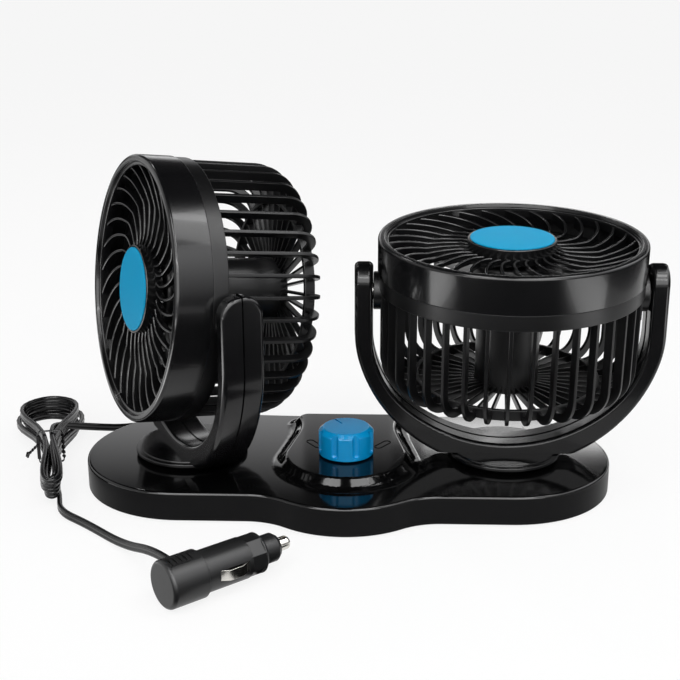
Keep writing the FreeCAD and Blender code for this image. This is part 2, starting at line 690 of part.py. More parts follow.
def housing(side, place):
    """Front ring, spiral grille, badge and ribbed rear cage of one head."""
    ring = body(side + "_front_ring", place)
    inside = ring_radius - ring_wall
    lip_under = ring_front - lip_depth
    profile = sketch(ring, "XZ_Plane")
    loop(profile, [(inside, ring_seam), (ring_radius, ring_seam), (ring_radius, ring_front - ring_round),
                   (ring_radius - ring_round, ring_front, ring_round, 1), (lip_radius, ring_front),
                   (lip_radius - 2, lip_under), (inside, lip_under)])
    turned(ring, profile)

    grille = body(side + "_front_grille", place)
    rib_front = lip_under - 0.6
    seat = badge_front - badge_thick
    profile = sketch(grille, "XZ_Plane")
    loop(profile, [(grille_rim, lip_under - 3), (inside - running_gap, lip_under - 3),
                   (inside - running_gap, lip_under), (grille_rim, lip_under)])
    loop(profile, [(0, grille_back), (grille_hub, grille_back), (grille_hub, seat + 0.2),
                   (grille_hub - 0.6, seat + 0.8), (badge_radius + running_gap, seat + 0.8),
                   (badge_radius + running_gap, seat), (0, seat)])
    turned(grille, profile)
    strip = sketch(grille, "XY_Plane", grille_back)
    start_x = grille_hub - 1.2
    mid_x = grille_rim * 0.47865
    mid_y = -(grille_rim * 0.07581)
    end_x = grille_rim * 0.99269
    end_y = grille_rim * 0.24750
    half_rib = grille_rib_thick / 2
    loop(strip, [(start_x - half_rib * 0.8439, -(half_rib * 0.5364)),
                 (mid_x - half_rib * 0.0872, mid_y - half_rib * 0.9962, grille_hook + half_rib, 1),
                 (end_x + half_rib * 0.9357, end_y - half_rib * 0.3529, grille_bend + half_rib, 1),
                 (end_x - half_rib * 0.9357, end_y + half_rib * 0.3529),
                 (mid_x + half_rib * 0.0872, mid_y + half_rib * 0.9962, grille_bend - half_rib, -1),
                 (start_x + half_rib * 0.8439, half_rib * 0.5364, grille_hook - half_rib, -1)])
    around(grille, raised(grille, strip, rib_front - grille_back), grille_rib_count)
    hollow = sketch(grille, "XZ_Plane")
    loop(hollow, [(grille_hub + 0.4, rib_front + 2), (grille_hub + 0.4, rib_front - grille_dish * 0.4),
                  (grille_hub * 0.45 + grille_rim * 0.55, rib_front - grille_dish),
                  (grille_rim - 0.2, rib_front - 0.4), (grille_rim - 0.2, rib_front + 2)])
    turned(grille, hollow, "PartDesign::Groove")

    badge = body(side + "_badge", place)
    profile = sketch(badge, "XZ_Plane")
    loop(profile, [(0, seat), (badge_radius, seat), (badge_radius, badge_front - 0.6),
                   (badge_radius - 0.6, badge_front, 0.6, 1), (0, badge_front)])
    turned(badge, profile)

    cage = body(side + "_rear_cage", place)
    band_inside = inside - running_gap - 1.2
    sleeve = motor_radius + running_gap
    sleeve_back = cage_back + 0.4
    ring_inside = rear_ring_radius - rear_ring_wall
    profile = sketch(cage, "XZ_Plane")
    loop(profile, [(band_inside, band_back), (band_radius, band_back), (band_radius, ring_seam),
                   (inside - running_gap, ring_seam), (inside - running_gap, ring_seam + spigot_length),
                   (band_inside, ring_seam + spigot_length)])
    box(profile, ring_inside, cage_back, rear_ring_radius, cage_back + rear_ring_length)
    loop(profile, [(sleeve, sleeve_back), (sleeve + motor_wall, sleeve_back),
                   (sleeve + motor_wall, motor_face + 1), (sleeve + motor_wall - 1, motor_face + 2),
                   (5.2, motor_face + 2), (5.2, motor_face), (sleeve, motor_face)])
    turned(cage, profile)
    rib_inside = cage_radius - cage_rib_depth
    turn_back = cage_back + cage_corner
    turn_radius = cage_corner - cage_rib_depth
    ports = sketch(cage, "XY_Plane", motor_face - 1)
    for way in (-1, 1):
        disc(ports, motor_radius * 0.58 * way, 0, screw_radius + 0.2)
    sunk(cage, ports, 4, back=True)
    for way in (-1, 1):
        panel = sketch(cage, "YZ_Plane", (cage_radius - 2.8) * way)
        box(panel, -pivot_boss_radius, -(pivot_boss_radius + 2), pivot_boss_radius, ring_seam - 3)
        raised(cage, panel, 2.6, back=way < 0)
        hub = sketch(cage, "YZ_Plane", (cage_radius - 3.5) * way)
        disc(hub, 0, 0, pivot_boss_radius)
        raised(cage, hub, boss_reach - cage_radius + 3.5, back=way < 0)
    spoke = sketch(cage, "XZ_Plane")
    box(spoke, sleeve + motor_wall * 0.5, cage_back + 0.5, rear_ring_radius - rear_ring_wall * 0.5,
        cage_back + 4.5)
    around(cage, raised(cage, spoke, spoke_thick, both=True), spoke_count)
    rib = sketch(cage, "XZ_Plane")
    loop(rib, [(cage_radius, turn_back, cage_corner, 1), (cage_radius, ring_seam - 3),
               (rib_inside, ring_seam - 3), (rib_inside, turn_back),
               (cage_radius - cage_corner, cage_back + cage_rib_depth, turn_radius, -1),
               (rear_ring_radius - 1, cage_back + cage_rib_depth), (rear_ring_radius - 1, cage_back),
               (cage_radius - cage_corner, cage_back)])
    around(cage, raised(cage, rib, cage_rib_thick, both=True), cage_rib_count)
    for way in (-1, 1):
        bore = sketch(cage, "YZ_Plane", (rib_inside - 2) * way)
        disc(bore, 0, 0, pin_radius)
        sunk(cage, bore, boss_reach - rib_inside + 4, back=way > 0)

    pins = body(side + "_pivot_pins", place)
    for way in (-1, 1):
        pin = sketch(pins, "YZ_Plane", (rib_inside - 0.6) * way)
        disc(pin, 0, 0, pin_radius)
        raised(pins, pin, yoke_inner + pin_depth - 0.4 - rib_inside + 0.6, back=way < 0)

    cap = body(side + "_motor_cap", place)
    plug = sleeve - running_gap
    profile = sketch(cap, "XZ_Plane")
    loop(profile, [(0, sleeve_back), (plug - 0.8, sleeve_back), (plug, sleeve_back + 0.8, 0.8, 1),
                   (plug, sleeve_back + 3), (0, sleeve_back + 3)])
    turned(cap, profile)


def drive(side, place):
    """Motor in its sleeve and the impeller on the motor shaft."""
    motor_back = motor_face - motor_length
    can = body(side + "_motor_can", place)
    profile = sketch(can, "XZ_Plane")
    hole = shaft_radius + running_gap
    loop(profile, [(hole, motor_back), (motor_radius, motor_back), (motor_radius, motor_face - 0.8),
                   (motor_radius - 0.8, motor_face), (5, motor_face), (5, motor_face + 1.8),
                   (hole, motor_face + 1.8)])
    turned(can, profile)
    taps = sketch(can, "XY_Plane", motor_face)
    for way in (-1, 1):
        disc(taps, motor_radius * 0.58 * way, 0, screw_radius + running_gap)
    sunk(can, taps, 4.2)

    bell = body(side + "_motor_end", place)
    profile = sketch(bell, "XZ_Plane")
    loop(profile, [(0, motor_back - 2), (motor_radius - 0.9, motor_back - 2),
                   (motor_radius - 0.9, motor_back), (0, motor_back)])
    turned(bell, profile)
    tags = sketch(bell, "XY_Plane", motor_back - 1.5)
    for way in (-1, 1):
        box(tags, 7 * way - 1.4, -0.3, 7 * way + 1.4, 0.3)
    raised(bell, tags, 2.6, back=True)

    fixings = body(side + "_motor_screws", place)
    heads = sketch(fixings, "XY_Plane", motor_face + 2)
    shanks = sketch(fixings, "XY_Plane", motor_face + 2)
    for way in (-1, 1):
        disc(heads, motor_radius * 0.58 * way, 0, screw_head - 0.4)
        disc(shanks, motor_radius * 0.58 * way, 0, screw_radius)
    raised(fixings, heads, 1.4)
    raised(fixings, shanks, 6, back=True)

    shaft = body(side + "_motor_shaft", place)
    profile = sketch(shaft, "XY_Plane", motor_back + 0.3)
    disc(profile, 0, 0, shaft_radius)
    raised(shaft, profile, hub_front - 3 - motor_back - 0.3)

    fan = body(side + "_impeller", place)
    profile = sketch(fan, "XZ_Plane")
    loop(profile, [(shaft_radius, hub_back + 5), (4.4, hub_back + 5), (4.4, hub_front - 4),
                   (hub_radius - 2, hub_front - 4), (hub_radius - 2, hub_back), (hub_radius, hub_back),
                   (hub_radius, hub_front - 4), (hub_radius - 4, hub_front, 4, 1), (0, hub_front),
                   (0, hub_front - 3), (shaft_radius, hub_front - 3)])
    turned(fan, profile)
    sections = []
    mid = (hub_back + hub_front) * 0.5 + 0.6
    tip_reach = root(blade_tip * blade_tip - 21.7 * 21.7)
    for reach, chord, pitch, thick in ((hub_radius - 1.6, 25, 40, 2.4), (tip_reach, 46, 21, 1.5)):
        lean = math.radians(pitch)
        cut = sketch(fan, "YZ_Plane", reach)
        along = (chord * 0.5 * math.cos(lean), chord * 0.5 * math.sin(lean))
        off = (-math.sin(lean) * thick * 0.5, math.cos(lean) * thick * 0.5)
        bow = chord * 1.15
        loop(cut, [(-along[0] - off[0], mid - along[1] - off[1]),
                   (along[0] - off[0], mid + along[1] - off[1], bow, -1),
                   (along[0] + off[0], mid + along[1] + off[1]),
                   (-along[0] + off[0], mid - along[1] + off[1], bow, 1)])
        sections.append(cut)
    blade = fan.newObject("PartDesign::AdditiveLoft", "Blade")
    blade.Profile = sections[0]
    blade.Sections = [sections[1]]
    blade.Ruled = True
    fan.Tip = blade
    around(fan, blade, blade_count)


for side, way, psi, tilt in (("left", -1, left_swivel, left_tilt), ("right", 1, right_swivel, right_tilt)):
    facing = Rotation(Vector(0, 0, 1), psi.value)
    below = Placement(Vector(half.value * way, 0, 0), facing)
    pivot = Placement(Vector(half.value * way, 0, pivot_height.value),
                      facing * Rotation(Vector(1, 0, 0), 90 - tilt.value))
    swivel(side, below)
    yoke_shell(side + "_yoke_front", below, False)
    yoke_shell(side + "_yoke_rear", below, True)
    housing(side, pivot)
    drive(side, pivot)

# Power plug: ribbed grip, barrel with sprung side contacts, nose and sliding tip.
grip = body("plug_grip", plug_place)
profile = sketch(grip, "XZ_Plane")
loop(profile, [(0, 0), (plug_radius - 2, 0), (plug_radius, 2, 2, 1), (plug_radius, plug_grip_length - 1.4),
               (plug_radius - 0.9, plug_grip_length - 0.8), (plug_radius - 0.9, plug_grip_length),
               (7.5, plug_grip_length), (7.5, plug_grip_length - 5), (0, plug_grip_length - 5)])
turned(grip, profile)
ribs = sketch(grip, "XZ_Plane")
for way in (-1, 1):
    for k in range(5):
        low = plug_grip_length * (0.13 + 0.13 * k)
        box(ribs, (plug_radius - 1.1) * way, low, (plug_radius + 1) * way, low + plug_grip_length * 0.066)
sunk(grip, ribs, plug_radius * 2.2, both=True)
gland = sketch(grip, "XZ_Plane", plug_radius - 2)
disc(gland, 0, gland_place, cord_width * 0.5 + 1.6)
raised(grip, gland, gland_reach - plug_radius + 2)

barrel = body("plug_barrel", plug_place)
profile = sketch(barrel, "XZ_Plane")
box(profile, 7.2, plug_grip_length, plug_barrel_radius, plug_barrel_end)
turned(barrel, profile)
slots = sketch(barrel, "XZ_Plane")
box(slots, -3, plug_grip_length + 5.5, 3, plug_barrel_end - 1.5)
sunk(barrel, slots, plug_radius * 3, both=True)

contacts = body("plug_contacts", plug_place)
low = plug_grip_length + 5.5
high = plug_barrel_end - 1.5
for way in (-1, 1):
    strip = sketch(contacts, "YZ_Plane")
    loop(strip, [(8.2 * way, low), (9.0 * way, low), ((plug_barrel_radius + 1.2) * way, low + 4.5),
                 ((plug_barrel_radius + 1.2) * way, high - 4.5), (9.0 * way, high), (8.2 * way, high),
                 ((plug_barrel_radius + 0.4) * way, high - 4.5),
                 ((plug_barrel_radius + 0.4) * way, low + 4.5)])
    raised(contacts, strip, 5.4, both=True)

nose = body("plug_nose", plug_place)
profile = sketch(nose, "XZ_Plane")
shoulder = plug_nose_end - 5.5
sliding = plug_tip_radius + running_gap
collar = plug_barrel_radius - 0.2
collar_end = plug_barrel_end + 10.4
loop(profile, [(5.4, plug_barrel_end), (collar, plug_barrel_end), (collar, collar_end - 1.2),
               (collar - 1.2, collar_end), (collar - 3, collar_end), (collar - 3, plug_nose_end - 2.2),
               (plug_tip_radius + 2.2, plug_nose_end), (sliding, plug_nose_end), (sliding, shoulder),
               (5.4, shoulder)])
turned(nose, profile)
facet = sketch(nose, "XY_Plane", plug_barrel_end + 0.9)
box(facet, collar - 0.7, -5, collar + 2, 5)
around(nose, sunk(nose, facet, 7.6, back=True), size("facet_count", 8))

tip = body("plug_tip", plug_place)
profile = sketch(tip, "XZ_Plane")
loop(profile, [(0, shoulder - 2.4), (5, shoulder - 2.4), (5, shoulder), (plug_tip_radius, shoulder),
               (plug_tip_radius, plug_length - 2), (plug_tip_radius - 2, plug_length, 2, 1),
               (0, plug_length)])
turned(tip, profile)

fuse = body("plug_fuse", plug_place)
profile = sketch(fuse, "XY_Plane", plug_grip_length - 5)
disc(profile, 0, 0, 3.1)
raised(fuse, profile, 30)

# Grommet where the cord leaves the back of the left lobe.
exit_place = Placement(Vector(-half.value, lobe_radius.value, cord_exit.value),
                       Rotation(Vector(1, 0, 0), -90))
grommet = body("cord_grommet", exit_place)
profile = sketch(grommet, "XZ_Plane")
loop(profile, [(0, -cover_wall - 1.7), (cord_width + 0.65, -cover_wall - 1.7), (cord_width + 0.65, -cover_wall - 0.3),
               (cord_width - 0.05, -cover_wall - 0.3), (cord_width - 0.05, 0.1), (cord_width + 0.8, 0.1),
               (cord_width + 0.8, 1.4), (cord_width * 0.5 + 1, grommet_reach), (0, grommet_reach)])
turned(grommet, profile)


def arc_pair(start, heading, end, arrival):
    """Two tangent arcs between two points with given headings."""
    span = end - start
    both = heading + arrival
    a = 2 * (1 - heading.dot(arrival))
    b = 2 * span.dot(both)
    c = -span.dot(span)
    if a < 1e-9:
        reach = span.dot(span) / (4 * span.dot(arrival)) * 1.0
    else:
        reach = (-b + math.sqrt(b * b - 4 * a * c)) / (2 * a)
    first = start + heading * reach
    last = end - arrival * reach
    middle = (first + last) * 0.5
    return [rounded(start, first, middle), rounded(middle, last, end)]


def rounded(start, corner, end):
    """Arc that leaves start towards corner and reaches end from it."""
    chord = (start + end) * 0.5
    away = chord - corner
    reach = (corner - start).Length
    if away.Length < reach * 1e-4:
        return Part.LineSegment(start, end).toShape()
    half_angle = math.asin(min((start - chord).Length / reach, 1.0))
    depth = reach * (1 - math.sin(half_angle)) / math.cos(half_angle)
    middle = corner + away.normalize() * depth
    return Part.Arc(start, middle, end).toShape()


def tube(label, edges, radius):
    """Round tube along a smooth chain of arcs and lines."""
    path = Part.Wire(edges)
    start = path.Edges[0]
    heading = start.tangentAt(start.FirstParameter)
    spot = start.valueAt(start.FirstParameter)
    section = Part.Wire([Part.Circle(spot, heading, radius).toShape()])
    shape = path.makePipeShell([section], True, False)
    solid = shape if shape.ShapeType == "Solid" else Part.Solid(shape)
    made = doc.addObject("Part::Feature", label)
    made.Label = label
    made.Shape = solid
    pieces.append(made)
    want = math.pi * radius * radius * path.Length
    print("%s: length %.1f, volume %.1f of %.1f, valid %s" % (
        label, path.Length, solid.Volume, want, solid.isValid()))
    return path


def routed(points):
    """Straight runs with tangent arcs at the bends."""
    edges = []
    here = points[0]
    radii = []
    for k in range(1, len(points) - 1):
        before = points[k] - points[k - 1]
        after = points[k + 1] - points[k]
        cut = 0.45 * min(before.Length, after.Length)
        turn = before.getAngle(after)
        radii.append(round(cut / math.tan(turn / 2), 1))
        enter = points[k] - before.normalize() * cut
        leave = points[k] + after.normalize() * cut
        edges.append(Part.LineSegment(here, enter).toShape())
        edges.append(rounded(enter, points[k], leave))
        here = leave
    edges.append(Part.LineSegment(here, points[-1]).toShape())
    print("bend radii", radii)
    return edges


# Hank: loops drawn in at the waist, in four layers wound inward and outward by turns,
# from the cord at the base on top to the cord of the plug at the bottom.
cord_radius = cord_width.value / 2
pitch = cord_pitch.value
stack = cord_stack.value
lengthwise = Vector(math.cos(math.radians(hank_angle.value)), math.sin(math.radians(hank_angle.value)), 0)
crosswise = Vector(lengthwise.y, -lengthwise.x, 0)
hank_middle = Vector(hank_x.value, hank_y.value, 0)
floor = cord_radius + 0.1
waist_floor = floor + 2 * tie_radius.value + 0.3


def eased(share):
    share = min(max(share, 0.0), 1.0)
    return share * share * (3 - 2 * share)


def hank_point(turns):
    """Point and heading of the hank after a number of turns."""
    inward = min(abs(turns - 1.25), abs(turns - 3.75))
    spiral = pitch * (inward - 0.25) + pitch * 0.4 * max(0.0, 1 - 2 * turns)
    layer = 3 - eased((turns - 1) * 2) - eased((turns - 2.25) * 2) - eased((turns - 3.5) * 2)
    near_v = near_half.value + spiral
    near_u = near_reach.value + spiral + 1.2 * math.sin(layer * 2.3)
    far_v = far_half.value + spiral + 0.9 * math.sin(layer * 1.9 + 0.6)
    far_u = far_reach.value + spiral + 1.7 * math.sin(layer * 1.3 + 0.2)
    sway = 1.0 * math.sin(layer * 2.1 + 0.4)
    waist_v = waist_half.value + spiral
    turn_u = far_u - far_v * 0.85
    table = [
        (0, waist_v, -1, 0, waist_floor),
        (near_v * 1.3 - near_u, near_v, -1, 0, floor + 1.2),
        (-near_u, 0, 0, -1, floor),
        (near_v * 1.3 - near_u, -near_v, 1, 0, floor + 1.2),
        (0, -waist_v, 1, 0, waist_floor),
        (turn_u, sway - far_v, 1, 0, floor),
        (far_u, sway, 0, 1, floor),
        (turn_u, far_v + sway, -1, 0, floor),
    ]
    u, v, du, dv, height = table[int(round(turns * 8)) % 8]
    spot = hank_middle + lengthwise * u + crosswise * v + Vector(0, 0, height + layer * stack)
    return spot, lengthwise * du + crosswise * dv


steps = [hank_point(k / 8.0) for k in range(34)]
edges = []
for (start, heading), (end, arrival) in zip(steps, steps[1:]):
    edges.extend(arc_pair(start, heading, end, arrival))
hank_start, start_way = steps[0]
hank_end, end_way = steps[-1]
lead_in = hank_start - start_way * cord_width.value
lead_out = hank_end + end_way * cord_width.value
edges.insert(0, Part.LineSegment(lead_in, hank_start).toShape())
edges.append(Part.LineSegment(hank_end, lead_out).toShape())
hank_path = tube("cord_hank", edges, cord_radius)
dots = hank_path.discretize(Distance=1.2)
apart = int(math.ceil(4 * cord_width.value / 1.2))
least = 1e9
for i in range(len(dots)):
    for j in range(i + apart, len(dots)):
        gap = (dots[i] - dots[j]).Length
        if gap < least:
            least = gap
print("hank: least gap to itself %.2f, lowest %.2f" % (least - cord_width.value,
                                                       min(dot.z for dot in dots) - cord_radius))

# Cord from the grommet to the hank, and from the hank to the gland on the plug.
mouth = exit_place.multVec(Vector(0, 0, grommet_reach.value))
drop = floor - mouth.z
beside = hank_middle + lengthwise * 40 + crosswise * 27.5 + Vector(0, 0, floor + 3)
rising = lead_in - start_way * 14 + crosswise * 1.5
lead = [mouth, mouth + Vector(0, 16, 0), mouth + Vector(-22, 24, drop), mouth + Vector(-52, 6, drop),
        beside, rising, lead_in]
lead_path = tube("cord_lead", routed(lead), cord_radius)
gland_mouth = plug_place.multVec(Vector(0, -gland_reach.value, gland_place.value))
tail = [lead_out, lead_out + end_way * 17, Vector(-137, -68, floor), Vector(-112, -92, floor),
        gland_mouth - plug_side * 16, gland_mouth]
tail_path = tube("cord_tail", routed(tail), cord_radius)
print("cord: whole length %.0f" % (hank_path.Length + lead_path.Length + tail_path.Length))

# Tie round the waist of the hank.
wide = waist_half.value + 1.4 * pitch + cord_radius + tie_radius.value + 0.4
under = tie_radius.value + 0.05
over = waist_floor + 3 * stack + cord_radius + tie_radius.value + 0.4
tie_corner = 4.5
tie_spots = [(-wide, under), (wide, under), (wide, over), (-wide, over)]
tie_points = [hank_middle + crosswise * spot[0] + Vector(0, 0, spot[1]) for spot in tie_spots]
edges = []
for k in range(4):
    before = (tie_points[k] - tie_points[k - 1]).normalize()
    after = (tie_points[(k + 1) % 4] - tie_points[k]).normalize()
    enter = tie_points[k] - before * tie_corner
    leave = tie_points[k] + after * tie_corner
    edges.append(rounded(enter, tie_points[k], leave))
    edges.append(Part.LineSegment(leave, tie_points[(k + 1) % 4] - after * tie_corner).toShape())
spot = edges[1].valueAt(edges[1].FirstParameter)
section = Part.Wire([Part.Circle(spot, crosswise, tie_radius.value).toShape()])
path = Part.Wire(edges[1:] + edges[:1])
tie = doc.addObject("Part::Feature", "cord_tie")
tie.Label = "cord_tie"
tie.Shape = path.makePipeShell([section], True, False)
pieces.append(tie)

doc.recompute()
os.makedirs("parts", exist_ok=True)
for piece in pieces:
    steps = [piece] + list(getattr(piece, "Group", []))
    for step in steps:
        if "Invalid" in step.State or "Error" in step.State:
            raise RuntimeError("%s: %s is not made" % (piece.Label, step.Name))
    if piece.Shape.isNull() or not piece.Shape.isValid():
        raise RuntimeError("%s has no sound shape" % piece.Label)
    piece.Shape.exportStep("parts/%s.step" % piece.Label)
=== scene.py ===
import json
import math
import bpy
from mathutils import Matrix, Vector


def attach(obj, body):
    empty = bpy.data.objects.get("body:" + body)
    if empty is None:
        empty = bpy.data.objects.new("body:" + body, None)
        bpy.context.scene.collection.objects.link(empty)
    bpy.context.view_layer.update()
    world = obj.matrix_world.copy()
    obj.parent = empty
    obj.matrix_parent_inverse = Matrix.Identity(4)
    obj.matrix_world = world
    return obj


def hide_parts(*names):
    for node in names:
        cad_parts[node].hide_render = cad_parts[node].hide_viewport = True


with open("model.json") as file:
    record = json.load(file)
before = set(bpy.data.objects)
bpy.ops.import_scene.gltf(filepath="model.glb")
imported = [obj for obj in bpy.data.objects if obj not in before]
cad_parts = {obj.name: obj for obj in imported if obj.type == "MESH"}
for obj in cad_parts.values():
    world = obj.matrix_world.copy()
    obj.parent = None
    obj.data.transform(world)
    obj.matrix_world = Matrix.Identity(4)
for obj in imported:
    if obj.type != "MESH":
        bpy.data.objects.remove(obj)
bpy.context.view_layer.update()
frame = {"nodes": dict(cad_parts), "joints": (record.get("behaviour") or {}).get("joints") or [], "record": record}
bpy.context.scene.view_settings.view_transform = "Standard"

# Camera: a little above the base and almost square to its front, with a long lens,
# turned by the few degrees that the two swivel feet and the front edge show.
turn = math.radians(2.14)
rise = math.radians(17.59)
roll = math.radians(-0.15)
distance = 0.6764
aim = Vector((-0.00395, 0, 0.08485))
focal_pixels = 1202.5
picture_pixels = 680
sensor_width = 36
back = Vector((math.sin(turn) * math.cos(rise), -math.cos(turn) * math.cos(rise), math.sin(rise)))
level = Vector((0, 0, 1)).cross(back).normalized()
upward = back.cross(level)
across = level * math.cos(roll) + upward * math.sin(roll)
upward = upward * math.cos(roll) - level * math.sin(roll)
camera_axes = Matrix((across, upward, back)).transposed().to_4x4()
bpy.ops.object.camera_add()
camera = bpy.context.object
camera.data.sensor_width = sensor_width
camera.data.lens = focal_pixels / picture_pixels * sensor_width
camera.data.clip_start = 0.01
camera.matrix_world = Matrix.Translation(aim + back * distance) @ camera_axes
bpy.context.scene.camera = camera


# Power plug: a black moulded grip with finger ribs, a barrel with a sprung contact in each side,
# a faceted nose and a plated tip with a slot across it. The mouldings snap together over the fuse.
class Socket:
    """A value in a shader: sums add Math nodes, and node() adds any other."""

    def __init__(self, tree, output=None):
        self.tree = tree
        self.output = output

    def node(self, kind, settings, values, out=0):
        made = self.tree.nodes.new("ShaderNode" + kind)
        for name, value in settings.items():
            setattr(made, name, value)
        for name, value in values.items():
            if isinstance(value, Socket):
                self.tree.links.new(value.output, made.inputs[name])
            else:
                made.inputs[name].default_value = value
        return Socket(self.tree, made.outputs[out])

    def sum(self, operation, first, second):
        return self.node("Math", {"operation": operation}, {0: first, 1: second})

    def __add__(self, other):
        return self.sum("ADD", self, other)

    def __rsub__(self, other):
        return self.sum("SUBTRACT", other, self)

    def __mul__(self, other):
        return self.sum("MULTIPLY", self, other)

    __radd__ = __add__

    def noise(self, scale):
        return self.node("TexNoise", {}, {"Vector": self, "Scale": scale, "Detail": 3.0})

    def blended(self, first, second):
        return self.node("Mix", {"data_type": "RGBA"}, {0: self, 6: (*first, 1), 7: (*second, 1)}, out=2)

    def between(self, low, high):
        return self.node("MapRange", {}, {0: self, 1: low, 2: high})

    def relief(self, scale, strength, depth):
        return self.node("Bump", {}, {"Strength": strength, "Distance": depth, "Height": self.noise(scale)})


def finish(name, fixed):
    """New material: its Principled shader, and the piece's own coordinates."""
    material = bpy.data.materials.new(name)
    material.use_nodes = True
    shader = material.node_tree.nodes["Principled BSDF"]
    for socket, value in fixed.items():
        shader.inputs[socket].default_value = value
    return material, shader, Socket(material.node_tree).node("TexCoord", {}, {}, out="Object")


def feed(shader, **varied):
    """Link what changes over the surface to the shader."""
    for name, value in varied.items():
        value.tree.links.new(value.output, shader.inputs[name.replace("_", " ")])


def moulded(name, dark, light, rough, spread, fixed):
    """Moulded black plastic: slight shifts of shade and gloss, and a fine grain."""
    material, shader, place = finish(name, fixed)
    cloud = place.noise(38)
    feed(shader, Base_Color=cloud.blended(dark, light),
         Roughness=rough + cloud * spread + place.noise(640) * spread,
         Normal=place.relief(2600, 0.05, 0.00002))
    return material


def select_only(piece):
    """Make one piece the only selected and active one."""
    bpy.ops.object.select_all(action="DESELECT")
    piece.select_set(True)
    bpy.context.view_layer.objects.active = piece


def fasten(piece, name, body, slot, material, *nodes):
    """Give a finished piece its name, material and body, and hide the CAD nodes it stands for; the slot is not
    used.
    """
    piece.name = name
    piece.data.name = name
    piece.data.materials.clear()
    piece.data.materials.append(material)
    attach(piece, body)
    if nodes:
        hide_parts(*nodes)
    return piece


crease = 35


def evened(piece, angle=crease):
    """Smooth shading over the curves, with flat faces kept flat."""
    select_only(piece)
    bpy.ops.object.shade_smooth_by_angle(angle=math.radians(angle))
    even = piece.modifiers.new("even", "WEIGHTED_NORMAL")
    even.keep_sharp = True
    bpy.ops.object.modifier_apply(modifier=even.name)
    return piece


def softened(piece, width, segments, angle, miter="MITER_SHARP"):
    """Bevel every edge of the active piece that is sharper than an angle."""
    edge = piece.modifiers.new("edge", "BEVEL")
    edge.width = width
    edge.segments = segments
    edge.limit_method = "ANGLE"
    edge.angle_limit = math.radians(angle)
    edge.miter_outer = miter
    bpy.ops.object.modifier_apply(modifier=edge.name)


def taken_over(node, edge):
    """Copy of a CAD node with its facets merged, its sharp edges broken and its curves smooth."""
    source = frame["nodes"][node]
    piece = bpy.data.objects.new(node + "_shown", source.data.copy())
    bpy.context.scene.collection.objects.link(piece)
    select_only(piece)
    bpy.ops.object.mode_set(mode="EDIT")
    bpy.ops.mesh.select_all(action="SELECT")
    bpy.ops.mesh.remove_doubles(threshold=0.000002)
    bpy.ops.mesh.dissolve_limited(angle_limit=math.radians(0.4))
    bpy.ops.object.mode_set(mode="OBJECT")
    if edge:
        softened(piece, edge, 3, crease, "MITER_ARC")
    return evened(piece)


def block(matrix):
    """Box to cut with: a cube brought to its size and place in its mesh."""
    bpy.ops.object.select_all(action="DESELECT")
    bpy.ops.mesh.primitive_cube_add(size=1)
    cutter = bpy.context.object
    cutter.data.transform(matrix)
    return cutter


def hollowed(piece, cutter):
    """Cut one piece out of another, and take the cutter away."""
    select_only(piece)
    hollow = piece.modifiers.new("hollow", "BOOLEAN")
    hollow.operation = "DIFFERENCE"
    hollow.solver = "EXACT"
    hollow.object = cutter
    bpy.ops.object.modifier_apply(modifier=hollow.name)
    bpy.data.objects.remove(cutter)


plug_black = moulded("plug_black", (0.0050, 0.0050, 0.0055), (0.0085, 0.0085, 0.0092), 0.30, 0.08,
                     {"Specular IOR Level": 0.45})
nickel, shader, place = finish("nickel_plate", {"Metallic": 1.0})
feed(shader, Base_Color=place.noise(160).blended((0.62, 0.60, 0.56), (0.80, 0.78, 0.74)),
     Roughness=0.10 + place.noise(420) * 0.16)
plug_angle = math.radians(40.4)
plug_way = Vector((math.cos(plug_angle), math.sin(plug_angle), 0))
plug_side = Vector((plug_way.y, -plug_way.x, 0))
plug_tail = Vector((-0.0813, -0.1503, 0.01205))
tip_slot_along = 0.0700
tip_slot_rise = Vector((0, 0, 0.0037))
tip_slot_size = (0.0064, 0.0010, 0.0036, 1)
plug_pieces = []
for name, edge, slot, material in (("plug_grip", 0.00025, "black_plastic", plug_black),
                                   ("plug_barrel", 0.00020, "black_plastic", plug_black),
                                   ("plug_nose", 0.00020, "black_plastic", plug_black),
                                   ("plug_contacts", 0.00012, "chrome", nickel),
                                   ("plug_tip", 0.00015, "chrome", nickel)):
    body = "base"
    piece = taken_over(name, edge)
    if name == "plug_tip":
        body = "plug_tip"
        hollowed(piece, block(Matrix.Translation(plug_tail + plug_way * tip_slot_along + tip_slot_rise)
                              @ Matrix.Rotation(plug_angle, 4, "Z") @ Matrix.Diagonal(tip_slot_size)))
        evened(piece)
    plug_pieces.append(fasten(piece, name + "_finished", body, slot, material, name))

# Supply cord: flat twin lead in soft black vinyl, its two cores showing as a shallow waist.
# It leaves the back of the left foot, is wound into a hank that a tie draws in, and ends at the plug.
vinyl, shader, place = finish("cord_vinyl", {"Specular IOR Level": 0.3})
feed(shader, Base_Color=place.noise(220).blended((0.0030, 0.0030, 0.0034), (0.0065, 0.0065, 0.0070)),
     Roughness=0.16 + place.noise(700) * 0.12, Normal=place.relief(1500, 0.10, 0.00004))
cord_height = 0.0044
cord_thick = 0.0027
pitch = 0.0053
stack = 0.0045
floor = 0.0024
waist_floor = floor + 0.0021
loop_lift = 0.0012
waist_half = 0.0026
near_half = 0.0030
near_reach = 0.0600
far_half = 0.0175
far_reach = 0.0700
hank_end = 33
hank_middle = Vector((-0.1782, 0.017, 0))
hank_angle = math.radians(105.2)
lengthwise = Vector((math.cos(hank_angle), math.sin(hank_angle), 0))
crosswise = Vector((lengthwise.y, -lengthwise.x, 0))


def eased(share):
    """Share from 0 to 1 that starts and ends gently."""
    share = min(max(share, 0.0), 1.0)
    return share * share * (3 - 2 * share)


